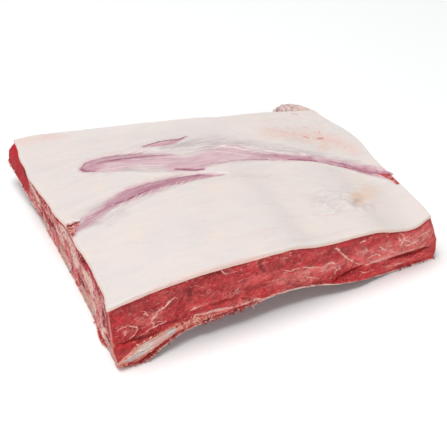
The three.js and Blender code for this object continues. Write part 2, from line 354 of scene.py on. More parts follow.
def ringAt(sides, places):
    ring = np.zeros((len(places), 3))
    for index, side in enumerate(("front", "right", "back", "left")):
        chosen = np.floor(places).astype(int) == index
        t = places[chosen] - index
        ring[chosen] = curveAt(sides[side], 1 - t if index > 1 else t)  # back and left run the other way
    return ring


def roundCorners(ring, places, passes, reach):  # softens the four upright edges, reach in columns
    corners = [int(np.argmin(np.abs(places - k))) for k in range(4)]
    gap = np.min([np.abs((np.arange(len(ring)) - c + len(ring) // 2) % len(ring) - len(ring) // 2)
                  for c in corners], axis=0)
    weight = smooth((reach - gap) / reach)[:, None]
    for _ in range(passes):
        average = (np.roll(ring, 1, 0) + 2 * ring + np.roll(ring, -1, 0)) / 4
        ring = ring + (average - ring) * weight
    return ring


def outward(grid):  # unit normals of rows of rings
    around = np.roll(grid, -1, 1) - np.roll(grid, 1, 1)
    down = np.gradient(grid, axis=0)
    normal = np.cross(down, around)
    return normal / np.maximum(np.linalg.norm(normal, axis=2, keepdims=True), 1e-9)


def belt(upper, lower, counts, rows):  # rows of rings from one level down to the next
    places = beltPlaces(counts)
    top, bottom = (roundCorners(ringAt(sides, places), places, 5, 5) for sides in (upper, lower))
    share = np.linspace(0, 1, rows)[:, None, None]
    return top * (1 - share) + bottom * share, places


def beltFaces(rows, columns):
    at = lambda row, column: row * columns + column % columns
    return [(at(i, j), at(i + 1, j), at(i + 1, j + 1), at(i, j + 1))
            for i in range(rows - 1) for j in range(columns)]


def addSkirt(points, faces, ring, foot, normal, rows, swellAt):  # rows from a ring of points to its foot
    edge = np.array(points)[ring]
    for row in range(1, rows):
        share = row / (rows - 1)
        line = edge * (1 - share) + foot * share
        line = line + normal * swellAt(line, share)[:, None] * mm
        current = list(range(len(points), len(points) + len(line)))
        points.extend(line)
        faces += ringFaces(ring, current)
        ring = current
    return ring


def fromCorner(points):  # mm from the front left corner, and above the ground
    return (points[:, 0] - cornerX) / mm, (points[:, 1] - cornerY) / mm, points[:, 2] / mm


print("form read from the frame")

# The camera stands where the whole slab shows from its front left, 40 degrees above it.
viewValues = {
    "eye": (-0.2501, -0.5637, 0.5128),
    "target": (0.0029, -0.0072, -0.0002),
    "lens": 72.48,
}


def aimAt(placed, place, target):
    placed.location = place
    placed.rotation_euler = (Vector(target) - placed.location).to_track_quat("-Z", "Y").to_euler()


def makeCamera(values):
    camera = inScene("viewCamera", bpy.data.cameras.new("viewCamera"))
    camera.data.lens = values["lens"]
    camera.data.clip_start = 0.01
    aimAt(camera, values["eye"], values["target"])
    bpy.context.scene.camera = camera


makeCamera(viewValues)

# Marbling and cuts on the front face: strokes of a strength through [mm along it from its left corner,
# mm above the ground, half width]. The dark red strokes are partly the meat's deeper red and partly painted
# shade in the knife's step, in the creases between muscles and above the front bone, and in the slit.
faceStrokes = {
    "vein": [
        (0.9, [(2.4, 34.6, 0.3), (6, 36.4, 0.6), (12, 37.2, 0.7), (13.4, 34.6, 0.5), (17.6, 32.4, 0.7),
               (18.6, 30, 0.6), (16.8, 27, 0.4), (15.4, 24, 0.6), (12, 22, 0.5)]),
        (0.9, [(22.3, 47.2, 0.3), (25.4, 45.4, 0.5), (27.4, 41.2, 0.4), (30.4, 36, 0.9), (29.4, 32.4, 0.5),
               (31.4, 29.4, 0.6), (30.4, 26.6, 0.4)]),
        (1.0, [(30.4, 36, 1.0), (33, 37.4, 0.7), (35, 41.2, 0.6), (38, 42.6, 0.9), (41, 43.8, 0.5),
               (44, 47, 0.7), (49, 50.2, 0.3)]),
        (0.6, [(38.3, 44.6, 0.3), (37.6, 39.7, 0.4), (34.5, 36.2, 0.3)]),
        (0.8, [(30.4, 31.4, 0.4), (34.8, 30.4, 0.5), (38.8, 29.4, 0.3)]),
        (0.95, [(15.6, 19.4, 0.4), (20, 21.4, 0.6), (24.1, 22.4, 0.8), (27.6, 24.8, 0.6), (31, 25.6, 0.9),
                (36.9, 27.2, 0.5), (41.5, 28.2, 0.3)]),
        (0.6, [(6, 24.4, 0.3), (9, 27.2, 0.5), (8.4, 30, 0.3)]),
        (1.0, [(61, 29.8, 0.5), (64, 31.2, 0.8), (69, 31, 1.0), (74, 31.8, 0.8), (80, 31.6, 0.5),
               (87, 32.8, 0.8), (93, 32.4, 0.5), (97, 35.6, 0.6), (101, 37.6, 0.3)]),
        (0.7, [(158, 29, 0.4), (163, 25.4, 0.6), (168, 22, 0.5), (174, 18.8, 0.7), (179, 15.6, 0.5)]),
        (0.6, [(126, 30.4, 0.4), (132, 28.8, 0.5), (139, 28.6, 0.4), (147, 25, 0.6), (154, 22.4, 0.4)]),
        (0.7, [(188, 29, 0.5), (189.6, 25, 0.7), (185, 23, 0.6), (186.4, 18.6, 0.4)]),
        (0.5, [(67, 50, 0.4), (70, 51, 0.6), (73.4, 50.2, 0.4)]),
        (0.9, [(242.6, 46.5, 0.4), (244.4, 41, 0.7), (248, 38, 0.5), (249, 33, 0.8), (254, 30.6, 0.5),
               (258, 28.4, 0.8), (262, 25, 0.5)]),
        (0.9, [(226, 34, 0.4), (229, 30.6, 0.7), (234, 28.6, 0.6), (238, 24.6, 0.9), (243, 22.6, 0.6)]),
        (0.8, [(215, 24, 0.4), (220, 27, 0.7), (224, 26.2, 0.5), (228, 24, 0.8)]),
        (0.7, [(64, 28.6, 0.4), (62, 26, 0.6), (65, 23.6, 0.7)]),
        (0.5, [(59.6, 53, 0.3), (64.9, 53.4, 0.5), (71.5, 49.9, 0.3)]),
        (0.8, [(86.4, 61.6, 0.4), (88.5, 58.6, 0.6), (91.8, 57.2, 0.5), (98.6, 56.5, 0.3)]),
        (0.6, [(100, 45, 0.3), (109, 46.5, 0.4), (115, 45.5, 0.3)]),
        (0.6, [(121, 35.5, 0.3), (131.5, 33.6, 0.5), (138.9, 33.3, 0.4)]),
        (0.9, [(138.2, 41.6, 0.3), (145.6, 38.5, 0.6), (152.9, 38.4, 0.5), (160.4, 36.2, 0.8),
               (167.2, 34.7, 0.6), (172.6, 32.1, 0.5), (181.4, 33.5, 0.8), (186.3, 30.4, 0.4)]),
        (0.7, [(178, 26, 0.4), (183, 29, 0.5), (187, 24, 0.4)]),
        (0.6, [(134.7, 56.9, 0.3), (138, 53.5, 0.5), (141.2, 54.2, 0.4), (142.1, 51.5, 0.3)]),
        (1.0, [(183.9, 48, 0.6), (187, 44, 0.9), (189.8, 40.6, 0.6), (193.6, 36, 0.8), (196.8, 31.8, 0.5),
               (203.6, 25.1, 0.5), (208, 22.6, 0.5), (213, 21.4, 0.6)]),
        (0.8, [(206, 45.6, 0.5), (209, 46.4, 0.9), (212.4, 45, 0.4)]),
        (0.7, [(212.8, 37.4, 0.4), (213.4, 34.4, 0.7), (209.6, 31.6, 0.4)]),
        (0.9, [(243, 37, 0.6), (244.6, 34, 1.4), (247, 31.4, 1.1), (246, 28.4, 0.5)]),
        (0.8, [(249, 28, 0.5), (254, 26.4, 1.0), (259, 27.6, 1.2), (264, 28.4, 0.6)]),
        (0.8, [(262, 31, 0.4), (267, 32.4, 0.9), (272, 31.8, 0.7), (276, 33.4, 0.4)]),
        (0.6, [(250, 35.6, 0.4), (255, 34, 0.5), (258, 31.4, 0.3)]),
        (0.7, [(228, 37, 0.3), (232, 35.4, 0.5), (236, 36.4, 0.3)]),
    ],
    # partly the meat's deeper red, partly painted shade in the knife's step and in the creases
    "deepRedAndShade": [
        (1.0, [(71, 66, 1.4), (66, 60, 1.6), (60.5, 54, 1.1), (55, 46, 0.9), (50, 36, 0.7)]),
        (0.7, [(70, 62, 2), (80, 60.5, 2.6), (90, 59, 2)]),
        (0.8, [(2, 19.4, 0.8), (14, 20.4, 1.3), (28, 23, 1.4), (42, 26, 1.1), (54, 26, 0.7)]),
        (0.8, [(66, 28, 0.5), (80, 29, 1.2), (96, 31, 1.1), (106, 30.4, 0.5)]),
        (0.8, [(117, 58, 1.6), (120, 52, 2.2), (123, 46, 1.2)]),
        (0.8, [(209, 42, 0.6), (210.6, 38, 1.3), (209, 35, 0.7)]),
        (0.55, [(186, 15, 0.5), (194, 17, 1.1), (203, 19.6, 0.9), (210, 20, 0.3)]),
    ],
}
lowerStrokes = {
    "vein": [
        (1.0, [(64, 24.6, 0.5), (70, 22.8, 0.9), (78, 22.6, 1.1), (88, 21.8, 1), (98, 20.4, 0.8),
               (108, 19.4, 0.8), (118, 18.8, 1)]),
        (0.7, [(72, 18.4, 0.4), (82, 18.8, 0.6), (92, 18, 0.4)]),
        (1.0, [(116, 18, 0.8), (128, 18, 1.2), (140, 17.6, 1.4), (150, 16, 1.3), (160, 14, 1.2),
               (170, 12, 0.8), (180, 9.6, 0.6), (192, 6.6, 0.6), (205, 4.4, 0.5)]),
        (1.0, [(209, 20.6, 0.6), (216, 22, 0.9), (224, 21.2, 1.3), (232, 21.6, 1), (240, 20, 0.7),
               (250, 19.4, 0.5), (262, 18.8, 0.4), (270, 18.4, 0.5)]),
        (0.8, [(213, 18.8, 0.3), (222, 19.2, 0.7), (231, 18.8, 0.8), (236, 19.6, 0.4)]),
        (0.6, [(206, 15, 0.3), (214, 12.6, 0.5), (222, 12.4, 0.4)]),
        (0.6, [(231, 11.5, 0.3), (238, 9.4, 0.5), (246, 8.6, 0.6), (254, 6.9, 0.3)]),
        (0.5, [(241.1, 10.9, 0.3), (248, 11.4, 0.4), (256, 10.2, 0.3)]),
        (0.5, [(262, 12, 0.3), (270, 11.4, 0.4), (277, 12.4, 0.3)]),
    ],
    # the first two are painted shade in the slit; the others are the meat's deeper red
    "deepRedAndShade": [
        (0.62, [(185, 14.4, 0.5), (194, 16.6, 0.9), (203, 18.6, 0.7), (211, 19.6, 0.3)]),
        (1.0, [(236, 16.8, 0.3), (248, 15.8, 0.8), (262, 14.8, 0.95), (274, 15.6, 0.5)]),
        (0.8, [(104, 26, 0.8), (109, 22, 1.5), (114, 17.5, 1.1)]),
        (0.6, [(120, 22, 0.6), (136, 22.6, 0.8), (150, 20.6, 0.8), (166, 17, 0.7), (178, 16, 0.5)]),
        (0.5, [(66, 26.8, 0.5), (82, 26.4, 0.7), (98, 25, 0.5)]),
    ],
}
creviceLine = [(48.2, 28.2), (49.8, 36.3), (54.2, 46.7), (59.7, 54.3), (65.1, 59.2), (70.5, 64.6)]
slitStrokes = [lowerStrokes["deepRedAndShade"][0], lowerStrokes["deepRedAndShade"][1]]
faceFlecks = [(122.1, 55.7), (115.2, 54.9), (152.1, 52.1), (151.9, 43.5), (25.3, 43.2), (17.4, 40.6),
              (8.8, 27.7), (102.7, 56.3), (144.5, 57.8), (172.6, 47.5), (168.2, 47.4), (189.9, 23.6),
              (253.1, 35), (232, 43)]
faceStrokes["vein"] += [(0.9, [(x - 0.5, z, 0.5), (x + 0.6, z + 0.3, 0.4)]) for x, z in faceFlecks]


def withTwigs(strokes, seed, gap=0.35):  # thin side branches off the stronger strokes
    chance = random.Random(seed)
    twigs = []
    for strength, line in strokes:
        for (x0, z0, _), (x1, z1, _) in zip(line[:-1], line[1:]):
            share, side = chance.random(), chance.choice((-1, 1))
            turn, bend, length = chance.uniform(0.5, 1.3), chance.uniform(-0.6, 0.6), chance.uniform(2.5, 8)
            if strength < 0.7 or chance.random() < gap or math.hypot(x1 - x0, z1 - z0) < 2:
                continue
            x, z = x0 + (x1 - x0) * share, z0 + (z1 - z0) * share
            angle, half = math.atan2(z1 - z0, x1 - x0) + side * turn, length / 2
            middleX, middleZ = x + math.cos(angle) * half, z + math.sin(angle) * half
            endX, endZ = middleX + math.cos(angle + bend) * half, middleZ + math.sin(angle + bend) * half
            twigs.append((0.55 * strength, [(x, z, 0.4), (middleX, middleZ, 0.35), (endX, endZ, 0.2)]))
    return strokes + twigs


faceStrokes["vein"] = withTwigs(faceStrokes["vein"], 5)
lowerStrokes["vein"] = withTwigs(lowerStrokes["vein"], 6, 0.6)


# The two leans: fine belts round the slab, closed by coarse nets where no one sees.
leanValues = {
    "columns": (560, 150, 160, 300),  # front, right, back, left
    "rows": 70,
    "lowerRows": 42,
    # Layers of relief, as relief() takes them, on the cut faces and on the sawn ones.
    "cut": ((0.55, 30, 3), (0.28, 8, 7, 3, (1.8, 1.8, 1)), (0.12, 2.6, 11, 3, (1.6, 1.6, 1))),
    "sawn": ((0.3, 14, 21), (0.14, 2.2, 23, 3), (0.08, 1.4, 27, 2, (1, 0.6, 8))),
    "stepDepth": 1.5,   # mm that the face falls back behind the knife's step
    "stepRun": 26,
    "slitDepth": 2.2,
    "band": 0.9,        # mm that the pale band over the front bone stands out
    "roll": 1.1,        # mm that the rounded muscle below the slit stands out
    "marbling": 0.16,
    "overhang": 0.5,    # mm that the fat stands over the lean
    "groove": 0.3,      # mm, of the groove just under the fat
    "drift": 0.8,       # mm that the marbling wanders off its plain course
    "sideLength": 260,  # mm, of one side of the ring of points round the slab, roughly
}


def sideWeights(places):  # 1 where a place is on the front, on the right or on the left, else 0
    return [(np.floor(places) == side) * 1.0 for side in (0, 1, 3)]


# Tinted areas of the cut faces: centre and radius along the face and in height, in mm, then strength.
# The dark red areas on the front face are partly the meat's deeper red and partly painted shade beside the
# knife's step.
faceAreas = {
    "pale": [
        (74, 18.6, 34, 3.6, 1.4), (196, 25, 56, 4, 0.9), (118, 42, 30, 7, 0.7), (158, 31, 34, 6, 1.0),
        (196, 29, 26, 7, 1.0), (228, 32, 18, 8, 0.9), (258, 28, 26, 10, 1.5), (34, 38, 12, 6, 0.6),
        (12, 28, 9, 7, 0.4), (66, 32, 12, 4, 0.7), (172, 47, 12, 4, 0.4), (160, 21, 34, 4, 0.9),
        (270, 38, 12, 5, 0.8), (246, 20.8, 36, 4.6, 1.6), (228, 47, 12, 4, 0.5), (96, 50, 10, 4, 0.4),
        (80, 40, 10, 4, 0.5), (262, 8, 18, 3, 0.5), (212, 6, 14, 2, 0.6),
    ],
    "bright": [
        (108, 27, 15, 5, 1.2), (88, 27, 20, 2.4, 1.0), (268, 46, 16, 5, 1.1), (281, 36, 4, 12, 0.9),
        (232, 52, 20, 4, 0.8), (12, 17, 12, 3, 1.2), (40, 24, 18, 3, 0.7), (4, 44, 4, 14, 0.8),
        (118, 24, 26, 4, 0.9), (182, 22, 18, 3, 0.6), (108, 56, 18, 5, 0.6), (66, 38, 9, 10, 0.6),
        (108, 48, 9, 5, 0.5), (215, 9, 30, 4, 1.0), (262, 9, 20, 4, 0.9), (190, 48, 10, 5, 0.6),
        (92, 17, 20, 3, 1.0), (190, 14, 14, 3, 1.0),
    ],
    "deepRedAndShade": [
        (22, 20, 24, 2.4, 1.0), (48, 26, 16, 2.2, 0.9), (61, 48, 4, 11, 0.9), (88, 29, 22, 2.4, 0.8),
        (51, 36, 4, 9, 0.6), (196, 16.2, 12, 1.8, 0.8), (258, 14.4, 18, 1.2, 0.9), (150, 22, 30, 1.4, 0.6),
        (104, 53, 9, 4, 0.5), (84, 56, 8, 6, 0.5), (75, 58, 9, 3, 0.5), (30, 49, 22, 8, 0.6),
        (150, 48, 24, 6, 0.6), (190, 45, 24, 5, 0.62), (54, 44, 4, 12, 0.7), (128, 56, 12, 3, 0.4),
        (214, 38, 3, 5, 0.7), (274, 12, 12, 3, 0.6), (12, 46, 8, 8, 0.4),
    ],
    "lace": [
        (232, 30, 24, 8, 0.8), (27, 36, 16, 9, 0.7), (10, 30, 10, 8, 0.6), (96, 34, 26, 5, 0.7),
        (148, 31, 26, 8, 0.9), (180, 30, 14, 6, 1.0), (208, 36, 9, 8, 0.9), (262, 30, 22, 8, 1.1),
        (238, 21, 34, 3.4, 1.2), (100, 22, 34, 4, 0.6), (245, 9, 30, 3, 0.7), (130, 52, 26, 6, 0.45),
        (80, 44, 20, 8, 0.4),
    ],
}
sawnAreas = {
    "pale": [
        (58, 34, 13, 8, 1.2), (50, 16, 9, 8, 1.0), (92, 34, 12, 12, 1.1), (110, 42, 12, 8, 1.0),
        (3, 32, 4, 30, 1.0), (128, 28, 10, 9, 0.8), (190, 40, 14, 10, 0.9), (22, 12, 10, 8, 0.7),
        (150, 52, 22, 4, 0.6), (180, 32, 10, 8, 0.7),
    ],
    "bright": [
        (8, 34, 12, 34, 1.0), (62, 54, 44, 6, 1.0), (50, 54, 14, 7, 1.3), (70, 48, 13, 7, 1.3),
        (80, 14, 10, 8, 1.3), (34, 52, 10, 8, 0.8), (22, 28, 6, 12, 0.7), (228, 40, 23, 30, 2.0),
        (210, 34, 10, 12, 1.4), (96, 56, 14, 5, 1.1), (163, 40, 16, 7, 0.9), (160, 22, 16, 8, 1.0),
        (175, 14, 12, 5, 1.0), (118, 10, 14, 6, 0.8), (26, 3, 20, 4, 1.0), (140, 20, 10, 6, 0.7),
    ],
    "deepRedAndShade": [
        (62, 57, 44, 3, 0.8), (46, 55, 9, 4, 1.1), (70, 49, 12, 4, 1.0), (76, 18, 9, 5, 1.2),
        (24, 28, 4, 12, 1.0), (208, 42, 8, 10, 1.2), (240, 20, 14, 5, 1.0), (150, 22, 10, 5, 1.0),
        (172, 13, 12, 4, 1.1), (160, 42, 10, 4, 0.9), (30, 46, 6, 8, 0.8), (128, 14, 8, 4, 0.6),
        (92, 57, 10, 3, 0.9), (226, 30, 6, 8, 0.5),
    ],
    "lace": [(110, 30, 200, 60, 0.4)],
}


def areaMap(along, up, areas):  # 0 to 1, strongest in the middle of each area
    total = np.zeros(len(along))
    for centre, height, reach, rise, strength in areas:
        inside = np.exp(-((along - centre) / reach) ** 2 - ((up - height) / rise) ** 2)
        total = np.maximum(total, strength * inside)
    return np.minimum(total, 1)


def leanRelief(points, places, values, lower):  # mm that a point stands out of the plain face
    x, _, z = fromCorner(points)
    front, right, left = sideWeights(places)
    out = np.where(left + right > 0, relief(points, values["sawn"]), relief(points, values["cut"]))
    behind = x - np.interp(z, [q[1] for q in creviceLine], [q[0] for q in creviceLine])
    step = smooth((behind + 0.6) / 1.8) * (1 - smooth(behind / values["stepRun"])) * smooth((z - 26) / 10)
    out -= front * values["stepDepth"] * step
    if lower:
        out -= front * values["slitDepth"] * smooth(2 * strokeMap(x, z, slitStrokes))
        out += front * values["band"] * bell(x, 96, 26) * bell(z, 20, 3)
        out += front * values["roll"] * smooth((x - 175) / 20) * bell(z, 8.5, 5)
    else:
        out += front * values["marbling"] * smooth(2 * strokeMap(x, z, faceStrokes["vein"]))
    return out


def makeLean(name, upper, lower, upperNet, lowerNet, rows, values, isLower):
    grid, places = belt(upper, lower, values["columns"], rows)
    columns = len(places)
    share = np.repeat(np.linspace(0, 1, rows), columns)
    around = np.tile(places, rows)
    flat = grid.reshape(-1, 3)
    out = leanRelief(flat, around, values, isLower)
    if not isLower:
        out -= values["overhang"] * (1 - smooth(share * 22)) + values["groove"] * bell(share, 0.03, 0.03)
    points = list(flat + outward(grid).reshape(-1, 3) * out[:, None] * mm)
    faces = beltFaces(rows, columns)
    closeWithNet(points, faces, list(range(columns)), places, upperNet)
    closeWithNet(points, faces, list(range((rows - 1) * columns, rows * columns)), places, lowerNet)
    whole = np.array(points)
    x, y, z = fromCorner(whole)
    ring = np.concatenate([around, np.full(len(points) - len(around), 0.5)])
    front, right, left = sideWeights(ring)
    drift = [values["drift"] * noiseAt(whole, 7, seed, 3) for seed in (101, 105)]
    strokes = lowerStrokes if isLower else faceStrokes
    drawn = {kind: strokeMap(x + drift[0], z + drift[1], lines) * (front > 0)
             for kind, lines in strokes.items()}
    rim = np.where(front > 0, np.interp(x, *frontTop), np.where(left > 0, np.interp(y, *leftTop), 90))
    attributes = {
        "vein": drawn["vein"],
        "sawn": left + right * 0.75,
        "fromTop": rim - z,
        "fromCorner": np.minimum(ring, 4 - ring) * values["sideLength"],
    }
    for area, patches in faceAreas.items():
        onSide = np.where(left + right > 0, areaMap(y, z, sawnAreas[area]), 0)
        attributes[area] = np.where(front > 0, areaMap(x, z, patches), onSide)
    attributes["deepRedAndShade"] = np.maximum(attributes["deepRedAndShade"] * 0.8, drawn["deepRedAndShade"])
    return makePiece(name, points, faces, attributes)


seamNet = coonsNet(rims["seam"])
lowerNet = underNet + np.array([0, 0, 1.8 * mm])
frontTop = ((rims["lean"]["front"][:, 0] - cornerX) / mm, rims["lean"]["front"][:, 2] / mm)
leftRim = rims["lean"]["left"][np.argsort(rims["lean"]["left"][:, 1])]
leftTop = ((leftRim[:, 1] - cornerY) / mm, leftRim[:, 2] / mm)
leanPiece = makeLean("mainLean", rims["lean"], rims["seam"], leanNet, seamNet,
                     leanValues["rows"], leanValues, False)
lowerPiece = makeLean("lowerLean", rims["seam"], rims["lower"], seamNet, lowerNet,
                      leanValues["lowerRows"], leanValues, True)
print("leans made", len(leanPiece.data.polygons), len(lowerPiece.data.polygons))


# The outlines of the muscle strips and the bones are read from their CAD solids, station by station along X.
def spansOf(node, count, inset=0.2):  # each station's X, and the lowest and highest Y and Z of the node there
    low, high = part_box(node)
    stations = np.linspace(low.x + inset * mm, high.x - inset * mm, count)
    bm = mergedCopy(node)
    ends = np.array([[vert.co[:] for vert in edge.verts] for edge in bm.edges])
    bm.free()
    start, end = ends[:, 0], ends[:, 1]
    rows = []
    for x in stations:
        crossing = (start[:, 0] - x) * (end[:, 0] - x) < 0
        share = (x - start[crossing, 0]) / (end[crossing, 0] - start[crossing, 0])
        points = start[crossing] + share[:, None] * (end[crossing] - start[crossing])
        rows.append((points[:, 1].min(), points[:, 1].max(), points[:, 2].min(), points[:, 2].max()))
    return stations, np.array(rows)


def evened(values, width):  # a running average, with the ends held
    kernel = np.exp(-np.linspace(-2, 2, 2 * width + 1) ** 2)
    padded = np.pad(values, width, mode="edge")
    return np.convolve(padded, kernel / kernel.sum(), mode="valid")


stripStations = 160
stripSpans = {}
for node in ("back_muscle_strip", "front_muscle_strip", "slit_muscle_strip"):
    stations, rows = spansOf(node, stripStations)
    stripSpans[node] = {"x": (stations - cornerX) / mm,
                        "low": evened((rows[:, 0] - cornerY) / mm, 3),
                        "high": evened((rows[:, 1] - cornerY) / mm, 3)}


def insideStrip(x, y):  # mm inside the nearest strip's outline, less than 0 outside it
    best = np.full(len(x), -99.0)
    for spans in stripSpans.values():
        low = np.interp(x, spans["x"], spans["low"])
        high = np.interp(x, spans["x"], spans["high"])
        past = np.maximum(spans["x"][0] - x, x - spans["x"][-1])
        inside = np.minimum(np.minimum(y - low, high - y), -past)
        best = np.maximum(best, inside)
    return best


fatValues = {
    "length": 283,       # mm, a rough size for the spacing of the edge rows, as the next
    "depth": 222,
    "alongCount": 235,
    "acrossCount": 200,
    "edgeRadius": 1.4,   # mm, of the rounded upper edge
    "skirtRows": 7,
    "relief": ((0.42, 36, 31, 2, (1.7, 1, 1)), (0.15, 10, 33, 2, (2.6, 1, 1)), (0.05, 3.4, 35, 2, (3, 1, 1))),
    "folds": 1.6,        # mm, of the wrinkled patch near the front right corner
    "notchDepth": 2.2,   # mm, of the two raw cuts in the rim
    "windowDepth": 0.8,  # mm that the muscle lies below the fat
    "lip": 0.35,         # mm that the fat stands up around it
    "rimBulge": 0.45,    # mm that its rim swells outwards, and how ragged the rim is
    "ragged": 0.35,
    "rimSink": 0.35,     # mm that the rim and the hidden underside reach into the lean
    "underSink": 0.3,
}


def fatRelief(points, values):  # mm that the fat's top stands above its plain form
    x, y, _ = fromCorner(points)
    out = relief(points, values["relief"])
    turned = points @ np.array([[0.94, -0.34, 0], [0.34, 0.94, 0], [0, 0, 1]])
    ridges = 1 - 2 * np.abs(noiseAt(turned, 7, 37, 2, (2.6, 1, 1)))
    out += values["folds"] * ridges * bell(x, 214, 28) * bell(y, 44, 17)
    out += 0.3 * noiseAt(points, 5, 39, 3) * smooth((x - 195) / 40) * smooth((y - 108) / 30)
    inside = insideStrip(x, y)
    out += values["lip"] * bell(inside, -2.4, 2.2)
    out -= values["windowDepth"] * smooth((inside + 0.8) / 2.6)
    out -= values["notchDepth"] * smooth(1.6 * strokeMap(x, y, topStrokes["raw"]))
    return out


